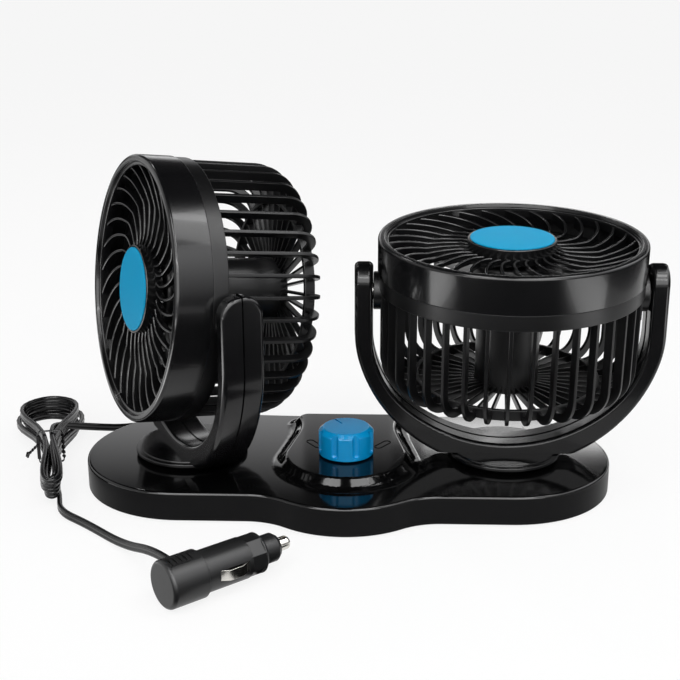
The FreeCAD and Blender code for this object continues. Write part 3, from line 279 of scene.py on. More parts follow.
def hank_point(step):
    """Point of the hank after so many eighths of a turn: drawn in at the waist, wide at the far end."""
    turns = step / 8
    inward = min(abs(turns - 1.25), abs(turns - 3.75))
    spiral = pitch * (inward - 0.25) + pitch * 0.4 * max(0.0, 1 - 2 * turns)
    layer = 3 - eased((turns - 1) * 2) - eased((turns - 2.25) * 2) - eased((turns - 3.5) * 2)
    near_v = near_half + spiral * 0.45
    near_u = near_reach + spiral + 0.0012 * math.sin(layer * 2.3)
    far_v = far_half + spiral + 0.0009 * math.sin(layer * 1.9 + 0.6)
    far_u = far_reach + spiral + 0.0017 * math.sin(layer * 1.3 + 0.2)
    sway = 0.0010 * math.sin(layer * 2.1 + 0.4)
    waist_v = (waist_half + spiral * 0.38 - 0.15 * (near_v + far_v)) / 0.75
    turn_u = far_u - far_v * 0.85
    spots = [(0, waist_v, waist_floor), (near_v * 1.3 - near_u, near_v * 1.2, floor + loop_lift),
             (-near_u - near_v * 0.3, 0, floor), (near_v * 1.3 - near_u, -near_v * 1.2, floor + loop_lift),
             (0, -waist_v, waist_floor), (turn_u, sway - far_v * 1.2, floor),
             (far_u + far_v * 0.22, sway, floor), (turn_u, far_v * 1.2 + sway, floor)]
    along, sideways, height = spots[step % 8]
    return hank_middle + lengthwise * along + crosswise * sideways + Vector((0, 0, height + layer * stack))


mouth = Vector((-0.09, 0.0635, 0.008))
drop = floor - mouth.z
gland_mouth = plug_tail + plug_way * 0.015 - plug_side * 0.017
lead_step = lengthwise * 0.0038
lead_in = hank_point(0) + lead_step
lead_out = hank_point(hank_end) - lead_step
route = [mouth, mouth + Vector((0, 0.016, 0)), mouth + Vector((-0.022, 0.024, drop)),
         mouth + Vector((-0.052, 0.006, drop)),
         hank_middle + lengthwise * 0.040 + crosswise * 0.0275 + Vector((0, 0, floor + 0.003)),
         lead_in + lengthwise * 0.014 + crosswise * 0.0015, lead_in]
route += [hank_point(step) for step in range(hank_end + 1)]
route += [lead_out, lead_out - lengthwise * 0.017, Vector((-0.137, -0.068, floor)),
          Vector((-0.112, -0.092, floor)), gland_mouth - plug_side * 0.016, gland_mouth]


def smooth_line(name, points, closed=False):
    """NURBS curve with these points as its control points."""
    curve = bpy.data.curves.new(name, "CURVE")
    curve.dimensions = "3D"
    curve.resolution_u = 6
    curve.twist_mode = "Z_UP"
    line = curve.splines.new("NURBS")
    line.points.add(len(points) - 1)
    for spot, point in zip(line.points, points):
        spot.co = (*point, 1)
    line.order_u = 3
    line.use_cyclic_u = closed
    line.use_endpoint_u = not closed
    made = bpy.data.objects.new(name, curve)
    bpy.context.scene.collection.objects.link(made)
    return made


def swept(line, section):
    """Mesh tube with a section of (across, up) points along a line."""
    outline = smooth_line("section", [(sideways, up, 0) for sideways, up in section], closed=True)
    outline.data.resolution_u = 3
    line.data.bevel_mode = "OBJECT"
    line.data.bevel_object = outline
    line.data.use_fill_caps = True
    select_only(line)
    bpy.ops.object.convert(target="MESH")
    bpy.data.objects.remove(outline)
    bpy.ops.object.mode_set(mode="EDIT")
    bpy.ops.mesh.select_all(action="SELECT")
    bpy.ops.mesh.remove_doubles(threshold=0.00001)
    bpy.ops.mesh.normals_make_consistent(inside=False)
    bpy.ops.object.mode_set(mode="OBJECT")
    bpy.ops.object.shade_smooth_by_angle(angle=math.radians(40))
    return bpy.context.object


cord = smooth_line("supply_cord", route)
path_step = 0.0002
bare = bpy.data.meshes.new_from_object(cord)
cord_path = [bare.vertices[0].co.copy()]
for vertex in bare.vertices:
    if (vertex.co - cord_path[-1]).length > path_step:
        cord_path.append(vertex.co.copy())
bpy.data.meshes.remove(bare)
core = cord_height * 0.5
wide = cord_thick * 0.5
twin = [(wide * 0.72, 0), (wide * 1.12, core * 0.4), (wide * 0.85, core * 1.06), (-wide * 0.85, core * 1.06),
        (-wide * 1.12, core * 0.4), (-wide * 0.72, 0), (-wide * 1.12, -core * 0.4),
        (-wide * 0.85, -core * 1.06), (wide * 0.85, -core * 1.06), (wide * 1.12, -core * 0.4)]
cord = fasten(swept(cord, twin), "supply_cord", "base", "black_rubber", vinyl,
              "cord_lead", "cord_hank", "cord_tail")

# Tie: a black vinyl strip on a wire, wrapped close round the waist of the hank,
# with its two ends twisted together at the side.
tie_wide = waist_half + 0.53 * pitch + 0.0018
tie_under = 0.0008
tie_over = waist_floor + 3 * stack + 0.0030
tie_round = 0.0042
strip_half = 0.0011
strip_thin = 0.0004
twist_steps = 15
twist_angle = 1.1
twist_reach = 0.0009
twist_radius = 0.0006
spread_from = 11


def joined(name, pieces):
    """One object made of several."""
    select_only(pieces[0])
    for piece in pieces[1:]:
        piece.select_set(True)
    bpy.ops.object.join()
    pieces[0].name = name
    return pieces[0]


spots = []
for sideways, height, to_side, to_height in ((-tie_wide, tie_under, 1, 1), (tie_wide, tie_under, -1, 1),
                                             (tie_wide, tie_over, -1, -1), (-tie_wide, tie_over, 1, -1)):
    corner = [(sideways, height + tie_round * to_height), (sideways, height),
              (sideways + tie_round * to_side, height)]
    spots += corner if to_side * to_height > 0 else corner[::-1]
strip = [(strip_half, strip_thin), (-strip_half, strip_thin), (-strip_half, -strip_thin),
         (strip_half, -strip_thin)]
tie = swept(smooth_line("tie", [hank_middle + crosswise * sideways + Vector((0, 0, height))
                                for sideways, height in spots], closed=True), strip)
fasten(tie, "hank_tie", "base", "black_rubber", vinyl, "cord_tie")
twist_start = hank_middle - crosswise * tie_wide + Vector((0, 0, tie_over * 0.62))
ends = []
for phase in (0, math.pi):
    helix = []
    for step in range(twist_steps):
        angle = phase + step * twist_angle
        reach = twist_reach * step
        swing = twist_radius + 0.0007 * max(0, step - spread_from)
        helix.append(twist_start - (crosswise + lengthwise) * reach * 0.55
                     + lengthwise * swing * math.cos(angle)
                     + Vector((0, 0, swing * math.sin(angle) - reach * 0.32)))
    ends.append(swept(smooth_line("tie_end", helix), [(x * 0.5, y * 1.1) for x, y in strip]))
twist = fasten(joined("tie_twist", ends), "tie_twist", "base", "black_rubber", vinyl)
[tie, twist, bpy.data.objects["plug_fuse"]] + plug_pieces

# Base: a hollow moulding in black plastic, polished like a piano on top, with a satin wall round the side
# and a deck for the control that rises on flared sides. It is screwed to a bottom plate,
# and has rubber feet and a rubber grommet for the cord.
piano, shader, place = finish("piano_black", {"Specular IOR Level": 0.07, "Coat Roughness": 0.08})
facing = place.node("SeparateXYZ", {}, {"Vector": place.node("TexCoord", {}, {}, out="Normal")}, out="Z")
polish = facing.between(0.05, 0.30)
haze = place.noise(26).between(0.45, 0.75)
feed(shader, Base_Color=polish.blended((0.005, 0.005, 0.0054), (0.002, 0.002, 0.0022)),
     Roughness=0.34 - polish * 0.28 + haze * 0.03 + place.noise(700) * 0.03,
     Coat_Weight=polish * 0.6, Normal=place.relief(1800, 0.012, 0.00002))
fasten(taken_over("base_cover", 0), "base_cover_finished", "base", "base_black", piano, "base_cover")
rubber, shader, place = finish("soft_rubber", {"Specular IOR Level": 0.3})
feed(shader, Base_Color=place.noise(300).blended((0.012, 0.012, 0.012), (0.024, 0.024, 0.024)),
     Roughness=0.62 + place.noise(900) * 0.2, Normal=place.relief(1400, 0.3, 0.00008))
for name, edge in (("rubber_feet", 0.00020), ("cord_grommet", 0.00030)):
    fasten(taken_over(name, edge), name + "_finished", "base", "black_rubber", rubber, name)

# Marks on the deck: a small slot-shaped outline pressed in on each side of the knob.
# Each is a fine groove in the mould, shown as a thin ring whose near-black matte colour is painted shade for the
# groove's depth.
mark_width = 0.0042
mark_length = 0.0125
mark_line = 0.00030
mark_row = -0.0030
mark_lean = math.radians(55)
mark_stretch = mark_length - mark_width
deck_top = 0.0230
# The mark's colour, darker than the deck, is painted groove shade.
painted_mark_shade, shader, place = finish("mark_painted_groove_shade", {"Specular IOR Level": 0.1})
feed(shader, Base_Color=place.noise(500).blended((0.0006, 0.0006, 0.0006), (0.0014, 0.0014, 0.0014)),
     Roughness=0.70 + place.noise(800) * 0.2)
for side, sideways, lean in (("left", -0.0188, -mark_lean), ("right", 0.0205, mark_lean)):
    bpy.ops.object.select_all(action="DESELECT")
    bpy.ops.mesh.primitive_torus_add(major_radius=mark_width / 2, minor_radius=mark_line, major_segments=40,
                                     minor_segments=8)
    mark = bpy.context.object
    bpy.ops.object.mode_set(mode="EDIT")
    bpy.ops.mesh.select_all(action="DESELECT")
    bpy.ops.object.mode_set(mode="OBJECT")
    for vertex in mark.data.vertices:
        vertex.select = vertex.co.x > 0.00001
    bpy.ops.object.mode_set(mode="EDIT")
    bpy.ops.transform.translate(value=(mark_stretch, 0, 0))
    bpy.ops.object.mode_set(mode="OBJECT")
    mark.data.transform(Matrix.Translation((-mark_stretch / 2, 0, 0)))
    mark.data.transform(Matrix.Translation((sideways, mark_row, deck_top)) @ Matrix.Rotation(lean, 4, "Z"))
    bpy.ops.object.shade_smooth()
    fasten(mark, side + "_deck_mark", "base", "base_black", painted_mark_shade)

# Speed knob: polished blue plastic with eight flutes, a chamfered top and a slot for a pointer,
# pushed on to the spindle of the control.
knob_low = 0.0238
knob_top = 0.0393
knob_radius = 0.0155
knob_inside = 0.0131
knob_bore = 0.0030
bore_end = knob_top - 0.0030
knob_boss = 0.0052
boss_low = knob_low + 0.0040
roof_under = knob_top - 0.0065
knob_place = (0, -0.016, 0)
knob_edge = 0.00035
knob_crease = 38
flute_count = 8
flute_radius = 0.0023
flute_sink = 0.0007
flute_low = knob_low + 0.0015
flute_high = knob_top + 0.002
pointer_angle = math.radians(123)
pointer_middle = 0.0085
pointer_size = (0.0078, 0.0010, 0.0012, 1)
knob_blue, shader, place = finish("knob_polish", {"Specular IOR Level": 0.2, "Coat Weight": 0.15,
                                                  "Coat Roughness": 0.05})
cloud = place.noise(70)
feed(shader, Base_Color=cloud.blended((0.000, 0.270, 0.600), (0.002, 0.320, 0.680)),
     Roughness=0.14 + cloud * 0.10 + place.noise(900) * 0.06, Normal=place.relief(1600, 0.05, 0.00004))


def drawn(name, corners, closed=True):
    """Profile drawn in the XZ plane point by point; a third number rounds that corner."""
    count = len(corners)
    spots = [Vector((corner[0], 0, corner[1])) for corner in corners]
    points = []
    for number, here in enumerate(spots):
        soft = corners[number][2] if len(corners[number]) > 2 else 0
        if not soft:
            points.append(here)
            continue
        before = (spots[number - 1] - here).normalized()
        after = (spots[(number + 1) % count] - here).normalized()
        half = before.angle(after) / 2
        centre = here + (before + after).normalized() * soft / math.sin(half)
        start = here + before * soft / math.tan(half) - centre
        end = here + after * soft / math.tan(half) - centre
        points += [centre + start.slerp(end, step / 4) * soft for step in range(5)]
    bpy.ops.object.select_all(action="DESELECT")
    bpy.ops.mesh.primitive_plane_add(size=0.01)
    piece = bpy.context.object
    piece.name = name
    bpy.ops.object.mode_set(mode="EDIT")
    bpy.ops.mesh.select_all(action="SELECT")
    bpy.ops.mesh.merge(type="CENTER")
    bpy.ops.transform.translate(value=points[0])
    for here, there in zip(points, points[1:]):
        bpy.ops.mesh.extrude_region_move(TRANSFORM_OT_translate={"value": there - here})
    if closed:
        bpy.ops.object.mode_set(mode="OBJECT")
        for vertex in piece.data.vertices:
            near = min((vertex.co - points[0]).length, (vertex.co - points[-1]).length)
            vertex.select = near < 0.0000005
        bpy.ops.object.mode_set(mode="EDIT")
        bpy.ops.mesh.edge_face_add()
    bpy.ops.mesh.select_all(action="SELECT")
    return piece


def closed_up():
    """End the editing of a mesh: merge its doubles and turn its faces outwards."""
    bpy.ops.mesh.select_all(action="SELECT")
    bpy.ops.mesh.remove_doubles(threshold=0.000002)
    bpy.ops.mesh.normals_make_consistent(inside=False)
    bpy.ops.object.mode_set(mode="OBJECT")


def spun(name, corners, closed=True, steps=96):
    """Turned piece: a profile spun once round the Z axis."""
    piece = drawn(name, corners, closed)
    bpy.ops.mesh.spin(steps=steps, angle=math.tau, center=(0, 0, 0), axis=(0, 0, 1))
    closed_up()
    return piece


def around(piece, count):
    """Repeat all of a piece's mesh round the Z axis."""
    select_only(piece)
    bpy.ops.object.mode_set(mode="EDIT")
    bpy.ops.mesh.select_all(action="SELECT")
    bpy.ops.mesh.spin(steps=count - 1, dupli=True, angle=math.tau * (count - 1) / count, center=(0, 0, 0),
                      axis=(0, 0, 1))
    bpy.ops.object.mode_set(mode="OBJECT")
    return piece


knob = spun("speed_knob", [(0, bore_end), (knob_bore, bore_end), (knob_bore, boss_low), (knob_boss, boss_low),
                           (knob_boss, roof_under), (knob_inside, roof_under), (knob_inside, knob_low),
                           (knob_radius, knob_low, 0.0005), (knob_radius, knob_top - 0.0024, 0.0012),
                           (knob_radius - 0.0026, knob_top, 0.0008), (0, knob_top)], closed=False)
flutes = spun("flutes", [(0, flute_low), (flute_radius, flute_low, 0.0018), (flute_radius, flute_high),
                         (0, flute_high)], closed=False, steps=24)
flutes.data.transform(Matrix.Rotation(math.pi / flute_count, 4, "Z")
                      @ Matrix.Translation((knob_radius + flute_sink, 0, 0)))
around(flutes, flute_count)
pointer = block(Matrix.Rotation(pointer_angle, 4, "Z") @ Matrix.Translation((pointer_middle, 0, knob_top))
                @ Matrix.Diagonal(pointer_size))
hollowed(knob, joined("cutter", [flutes, pointer]))
softened(knob, knob_edge, 2, knob_crease)
knob.data.transform(Matrix.Translation(knob_place))
fasten(evened(knob, knob_crease), "speed_knob_finished", "knob", "knob_blue", knob_blue, "speed_knob")

# Swivel discs: the round foot that each yoke stands on, moulded in satin black plastic
# with a step round its rim. A screw and a washer hold its stem in the collar of the base.
satin = moulded("satin_black", (0.0032, 0.0032, 0.0036), (0.0052, 0.0052, 0.0058), 0.15, 0.05,
                {"Specular IOR Level": 0.28, "Coat Weight": 0.15, "Coat Roughness": 0.06})
disc_hole = 0.0016
stem_radius = 0.0060
stem_low = 0.0125
disc_radius = 0.0320
disc_low = 0.0187
disc_top = 0.0220
step_radius = 0.0293
step_top = 0.0213
joints = {joint["name"]: joint for joint in frame["joints"]}
foot_places = {}
head_places = {}
for side in ("left", "right"):
    swivel = joints[side + "_swivel"]
    pivot = joints[side + "_tilt"]
    forward = Vector(joints[side + "_spin"]["axis"]).normalized()
    sideways = -Vector(pivot["axis"]).normalized()
    turned = Matrix((sideways, forward.cross(sideways), forward)).transposed().to_4x4()
    head_places[side] = Matrix.Translation(pivot["pos_m"]) @ turned
    foot_places[side] = Matrix.Translation((swivel["pos_m"][0], swivel["pos_m"][1], 0))


def fit_both(pattern, places, node, body, slot, material):
    """Set a copy of a pattern in its place on the left and on the right, and take the pattern away."""
    for side, place in places.items():
        copy = bpy.data.objects.new(pattern.name, pattern.data.copy())
        copy.data.transform(place)
        bpy.context.scene.collection.objects.link(copy)
        fasten(copy, side + node + "_finished", side + body, slot, material, side + node)
    bpy.data.objects.remove(pattern)


disc = evened(spun("swivel_disc", [(disc_hole, stem_low), (stem_radius, stem_low), (stem_radius, disc_low),
                                   (disc_radius - 0.0008, disc_low, 0.0003),
                                   (disc_radius, disc_low + 0.0008, 0.0004), (disc_radius, step_top, 0.0006),
                                   (step_radius, step_top), (step_radius - 0.0002, disc_top, 0.0003),
                                   (disc_hole, disc_top)]))
fit_both(disc, foot_places, "_swivel_disc", "_yoke", "ring_black", satin)

# Yokes: each is two half shells in satin black plastic, screwed together from behind,
# so a fine joint line runs down the middle of the strip.
yoke_edge = 0.00050
joint_groove = 0.00040
joint_near = 0.00004


def broken_edges(piece, width, chosen, segments=2, clamped=True):
    """Bevel the edges whose middle and direction are chosen."""
    select_only(piece)
    mesh = piece.data
    bpy.ops.object.mode_set(mode="EDIT")
    bpy.ops.mesh.select_mode(type="EDGE")
    bpy.ops.mesh.select_all(action="DESELECT")
    bpy.ops.object.mode_set(mode="OBJECT")
    for edge in mesh.edges:
        first, last = (mesh.vertices[index].co for index in edge.vertices)
        edge.select = chosen((first + last) / 2, last - first)
    bpy.ops.object.mode_set(mode="EDIT")
    bpy.ops.mesh.bevel(offset=width, segments=segments, affect="EDGES", clamp_overlap=clamped)
    bpy.ops.mesh.select_mode(type="VERT")
    bpy.ops.object.mode_set(mode="OBJECT")
    return piece


for side, place in head_places.items():
    joint_plane = place.to_translation()
    through = Vector((0, 0, 1)).cross(Vector(joints[side + "_tilt"]["axis"])).normalized()
    for half in ("_yoke_front", "_yoke_rear"):
        shell = taken_over(side + half, yoke_edge)
        broken_edges(shell, joint_groove,
                     lambda middle, way: abs((middle - joint_plane).dot(through)) < joint_near
                     and abs(way.dot(through)) < joint_near / 2, clamped=False)
        fasten(evened(shell), side + half + "_finished", side + "_yoke", "ring_black", satin, side + half)

# Front rings: a smooth hoop in satin black plastic that snaps on to the cage of each head, with a narrow
# flat face whose inner edge catches the light as a fine bright line.
ring_in = 0.0706
ring_out = 0.0730
ring_seam = 0.0115
ring_front = 0.0315
lip_in = 0.0688
lip_under = 0.0298
ring = evened(spun("front_ring", [(ring_in, ring_seam), (ring_out, ring_seam, 0.00035),
                                  (ring_out, ring_front, 0.0018), (lip_in + 0.0004, ring_front, 0.0006),
                                  (lip_in, lip_under), (ring_in, lip_under)], steps=144))
fit_both(ring, head_places, "_front_ring", "_head", "ring_black", satin)

# Front grilles: one moulding in black plastic of hub, rim and thin ribs that leave the hub in a hook
# and curl round to the rim, with the face dished between them. It is held under the lip of the ring.
grille_black = moulded("grille_black", (0.0032, 0.0032, 0.0036), (0.0055, 0.0055, 0.0060), 0.15, 0.06,
                       {"Specular IOR Level": 0.5})
rib_count = 30
rib_thick = 0.0015
rib_back = 0.0215
rib_front = 0.0292
rib_hook = 0.01072
rib_bend = 0.03267
rib_round = 0.00058
hook_start = math.radians(-57.55)
hook_end = math.radians(-5)
bend_end = math.radians(74)
rib_start = Vector((0.0230, 0, 0))
outwards = Vector((math.sin(hook_start), -math.cos(hook_start), 0))
hook_centre = rib_start - outwards * rib_hook
bend_centre = hook_centre + Vector((-math.sin(hook_end), math.cos(hook_end), 0)) * (rib_bend - rib_hook)
dish_in = 0.0246
dish_middle = 0.0466
dish_out = 0.0680
depth_in = 0.0038
depth_middle = 0.0052
depth_out = 0.0006
rim_in = 0.0672
rim_out = 0.07055
rim_back = 0.0242
rim_front = 0.0297
grille_hub = 0.0242
hub_front = 0.0305
badge_hole = 0.02285
badge_seat = 0.0297


def dished(radius):
    """Depth of the dish at a distance from the axis."""
    if radius < dish_middle:
        share = max(radius - dish_in, 0) / (dish_middle - dish_in)
        return depth_in + (depth_middle - depth_in) * share
    share = min(radius - dish_middle, dish_out - dish_middle) / (dish_out - dish_middle)
    return depth_middle - (depth_middle - depth_out) * share


def bar(name, corners):
    """One four-cornered face, the start of a bar."""
    bpy.ops.object.select_all(action="DESELECT")
    bpy.ops.mesh.primitive_plane_add(size=0.01)
    piece = bpy.context.object
    piece.name = name
    for vertex, spot in zip(piece.data.vertices, corners):
        vertex.co = spot
    bpy.ops.object.mode_set(mode="EDIT")
    bpy.ops.mesh.select_all(action="SELECT")
    return piece


half_across = outwards * rib_thick / 2
low = Vector((0, 0, rib_back))
high = Vector((0, 0, rib_front))
rib = bar("grille_rib", [rib_start - half_across + low, rib_start + half_across + low,
                         rib_start - half_across + high, rib_start + half_across + high])
bpy.ops.mesh.spin(steps=8, angle=hook_start - hook_end, center=hook_centre, axis=(0, 0, 1))
bpy.ops.mesh.spin(steps=14, angle=hook_end - bend_end, center=bend_centre, axis=(0, 0, 1))
closed_up()
for vertex in rib.data.vertices:
    if vertex.co.z > rib_front - 0.0001:
        vertex.co.z -= dished(vertex.co.xy.length)
# The long edges in front are rounded, and the short ones across the rib are not.
broken_edges(rib, rib_round, lambda middle, way: middle.z > rib_back + 0.0015
             and abs(way.z) < way.length * 0.7 and abs(way.length - rib_thick) > 0.00003, 3)
ribs = around(rib, rib_count)
rim = spun("grille_rim", [(rim_in, rim_back), (rim_out, rim_back), (rim_out, rim_front),
                          (rim_in, rim_front, 0.0005)])
hub = spun("grille_hub", [(0, rib_back), (grille_hub, rib_back, 0.0004), (grille_hub, hub_front, 0.0006),
                          (badge_hole, hub_front, 0.0002), (badge_hole, badge_seat), (0, badge_seat)],
           closed=False)
grille = evened(joined("front_grille", [ribs, rim, hub]))
fit_both(grille, head_places, "_front_grille", "_head", "black_plastic", grille_black)

# Badges: a plain blue disc let into the hub of each grille, faintly crowned.
# It is satin plastic, stuck in place.
badge_radius = 0.0228
badge_back = 0.0298
badge_edge = 0.0311
badge_shoulder = 0.03116
badge_crown = 0.0312
badge_middle = 0.0120
badge_blue, shader, place = finish("badge_satin", {"Specular IOR Level": 0.06})
cloud = place.noise(45)
feed(shader, Base_Color=cloud.blended((0.000, 0.290, 0.530), (0.002, 0.330, 0.590)),
     Roughness=0.36 + cloud * 0.1 + place.noise(1100) * 0.08, Normal=place.relief(2400, 0.12, 0.00004))
badge = evened(spun("badge", [(0, badge_back), (badge_radius, badge_back), (badge_radius, badge_edge, 0.0005),
                              (badge_middle, badge_shoulder), (0, badge_crown)], closed=False))
fit_both(badge, head_places, "_badge", "_head", "badge_blue", badge_blue)

# Rear cages: a basket moulded in black plastic, of thin ribs that turn in at the back to a ring, with a band
# at the front that the hoop snaps on to, spokes to the motor sleeve, and a boss for each pivot pin.
cage_black = moulded("cage_black", (0.0030, 0.0030, 0.0034), (0.0050, 0.0050, 0.0055), 0.24, 0.08,
                     {"Specular IOR Level": 0.3})
cage_rib_count = 38
cage_out = 0.0714
cage_in = 0.0664
cage_end = -0.055
cage_bend = 0.017
cage_top = 0.0085
half_rib = 0.00095
cage_rib_edge = 0.00032
rib_end = 0.0510
bend_start = cage_end + cage_bend
band_in = 0.06935
band_out = 0.0725
band_back = 0.0030
spigot_front = 0.0155
rear_ring_in = 0.0496
rear_ring_out = 0.0520
rear_ring_top = cage_end + 0.006
sleeve_in = 0.01555
sleeve_out = 0.01775
sleeve_back = cage_end + 0.0004
sleeve_front = -0.0090
sleeve_floor = -0.0110
shaft_hole = 0.0052
spoke_in = 0.0166
spoke_out = 0.0508
spoke_back = cage_end + 0.0005
spoke_deep = 0.004
half_spoke = 0.0007
spoke_edge = 0.00030
pin_hole = 0.0040
boss_radius = 0.0106
boss_in = 0.0679
boss_out = 0.0753
panel_in = 0.0686
panel_back = -0.0126
panel_thick = 0.0026
panel_edge = 0.0005


def grown(way):
    """Extrude what is selected."""
    bpy.ops.mesh.extrude_region_move(TRANSFORM_OT_translate={"value": way})


rib = bar("cage_rib", [(cage_in, -half_rib, cage_top), (cage_out, -half_rib, cage_top),
                       (cage_in, half_rib, cage_top), (cage_out, half_rib, cage_top)])
grown((0, 0, bend_start - cage_top))
bpy.ops.mesh.spin(steps=10, angle=-math.pi / 2, center=(cage_out - cage_bend, 0, bend_start), axis=(0, 1, 0))
grown((rib_end - cage_out + cage_bend, 0, 0))
closed_up()
# Only edges along the rib are broken: those across it, 5 mm long, lie between the two lengths.
broken_edges(rib, cage_rib_edge, lambda middle, way: abs(way.y) < 0.0001 and abs(middle.y) > half_rib * 0.9
             and (way.length > 0.0055 or way.length < 0.0049 and middle.z < bend_start + 0.001))
pieces = [around(rib, cage_rib_count)]
pieces.append(spun("cage_band", [(band_in, band_back), (band_out, band_back, 0.0005),
                                 (band_out, ring_seam, 0.00035), (rim_out, ring_seam),
                                 (rim_out, spigot_front), (band_in, spigot_front)], steps=144))
pieces.append(spun("cage_rear_ring", [(rear_ring_in, cage_end, 0.0004), (rear_ring_out, cage_end, 0.0004),
                                      (rear_ring_out, rear_ring_top, 0.0004),
                                      (rear_ring_in, rear_ring_top, 0.0004)]))
pieces.append(spun("motor_sleeve", [(sleeve_in, sleeve_back), (sleeve_out, sleeve_back, 0.0004),
                                    (sleeve_out, sleeve_front, 0.0010), (shaft_hole, sleeve_front),
                                    (shaft_hole, sleeve_floor), (sleeve_in, sleeve_floor)], steps=72))
spoke = bar("cage_spoke", [(spoke_in, -half_spoke, spoke_back), (spoke_out, -half_spoke, spoke_back),
                           (spoke_in, half_spoke, spoke_back), (spoke_out, half_spoke, spoke_back)])
grown((0, 0, spoke_deep))
closed_up()
broken_edges(spoke, spoke_edge, lambda middle, way: way.xy.length > 0.02)
pieces.append(around(spoke, cage_rib_count))
for hand in (-1, 1):
    boss = spun("pivot_boss", [(pin_hole, boss_in), (boss_radius, boss_in), (boss_radius, boss_out, 0.0008),
                               (pin_hole, boss_out)], steps=48)
    boss.data.transform(Matrix.Rotation(math.radians(90 * hand), 4, "Y"))
    pieces.append(boss)
    inner = panel_in * hand
    panel = bar("boss_panel", [(inner, -boss_radius, panel_back), (inner, boss_radius, panel_back),
                               (inner, -boss_radius, cage_top), (inner, boss_radius, cage_top)])
    grown((panel_thick * hand, 0, 0))
    closed_up()
    pieces.append(broken_edges(panel, panel_edge, lambda middle, way: abs(way.z) > 0.015))
cage = evened(joined("rear_cage", pieces))
fit_both(cage, head_places, "_rear_cage", "_head", "black_plastic", cage_black)

# Fans: a five-bladed impeller in black plastic on the motor shaft, with a small cap behind
# that closes the motor sleeve.
for side in ("left", "right"):
    for node, body, edge in (("_impeller", "_fan", 0.00020), ("_motor_cap", "_head", 0.00030)):
        fasten(taken_over(side + node, edge), side + node + "_finished", side + body, "black_plastic",
               cage_black, side + node)

# Inner pieces: plated screws, pins and shafts, the motor cans, the control with its board, the fuse
# and the bottom plate, shown as they are in the CAD.
steel, shader, place = finish("zinc_steel", {"Metallic": 1.0})
feed(shader, Base_Color=place.noise(300).blended((0.42, 0.42, 0.41), (0.58, 0.57, 0.55)),
     Roughness=0.26 + place.noise(700) * 0.2)
motor_metal, shader, place = finish("motor_can_metal", {"Metallic": 1.0})
feed(shader, Base_Color=place.noise(90).blended((0.40, 0.40, 0.41), (0.52, 0.52, 0.53)),
     Roughness=0.32 + place.noise(500) * 0.16)
board, shader, place = finish("board_mask", {"Specular IOR Level": 0.5})
feed(shader, Base_Color=place.noise(240).blended((0.010, 0.120, 0.040), (0.020, 0.180, 0.070)),
     Roughness=0.3 + place.noise(600) * 0.2)
fuse_glass, shader, place = finish("fuse_tube", {"Transmission Weight": 0.9, "IOR": 1.47})
feed(shader, Base_Color=place.noise(120).blended((0.80, 0.86, 0.85), (0.88, 0.92, 0.91)),
     Roughness=0.04 + place.noise(300) * 0.06)
plain = {"steel": steel, "motor_metal": motor_metal, "board_green": board, "fuse_glass": fuse_glass,
         "black_plastic": cage_black}
for subpart in frame["record"]["subparts"]:
    node = frame["nodes"][subpart["node"]]
    if not node.hide_render:
        node.data.materials.clear()
        node.data.materials.append(plain[subpart["material_slot"]])

# Floor and light: a white floor and sky under soft lamps. Cards that only gloss sees stand and lie round
# the object: dark ones keep the black black, and fading and bright ones draw its highlights.
floor_glow = 0.85
sky_level = 0.5
bpy.ops.mesh.primitive_plane_add(size=60)
ground = bpy.context.object
ground.name = "floor"
white, shader = finish("white_floor", {"Base Color": (0.90, 0.90, 0.90, 1), "Roughness": 0.9,
                                       "Specular IOR Level": 0.1})[:2]
ground.data.materials.append(white)


def seen_directly(tree):
    """1 where the camera, a mirror or a glass looks at the background."""
    start = Socket(tree)
    rays = [start.node("LightPath", {}, {}, out=name)
            for name in ("Is Camera Ray", "Is Glossy Ray", "Is Transmission Ray")]
    return start.sum("MAXIMUM", rays[0], start.sum("MAXIMUM", rays[1], rays[2]))


tree = white.node_tree
glow = Socket(tree).node("Emission", {}, {"Strength": 1.0})
share = seen_directly(tree) * floor_glow
mixed = share.node("MixShader", {}, {0: share, 1: Socket(tree, shader.outputs[0]), 2: glow})
tree.links.new(mixed.output, tree.nodes["Material Output"].inputs["Surface"])
world = bpy.data.worlds.new("studio")
bpy.context.scene.world = world
world.use_nodes = True
sky = world.node_tree.nodes["Background"]
sky.inputs["Color"].default_value = (1, 1, 1, 1)
strength = sky_level + seen_directly(world.node_tree) * (1 - sky_level)
world.node_tree.links.new(strength.output, sky.inputs["Strength"])
matt = {"Base Color": (0.004, 0.004, 0.004, 1), "Roughness": 1.0, "Specular IOR Level": 0.0}
unlit = {"Base Color": (0, 0, 0, 1), "Specular IOR Level": 0.0}
card_black = finish("card_black", matt)[0]
fades = {}
for name, power, low, high, dim in (("back_fade", 1.0, 0.70, 0.56, 0.02),
                                    ("lobe_fade", 2.0, 0.74, 0.50, 0.01),
                                    ("side_fade", 4.0, 0.20, 1.60, 0.005)):
    fades[name], shader, place = finish(name, unlit | {"Emission Strength": power})
    height = place.node("SeparateXYZ", {}, {"Vector": place}, out="Z")
    feed(shader, Emission_Color=height.between(low, high).blended((dim, dim, dim), (0.85, 0.85, 0.86)))
glows = {}
for name, power in (("soft_glow", 5), ("clear_glow", 7), ("bright_glow", 12)):
    glows[name] = finish(name, unlit | {"Emission Color": (1, 1, 1, 1), "Emission Strength": power})[0]
flat = 0.0006
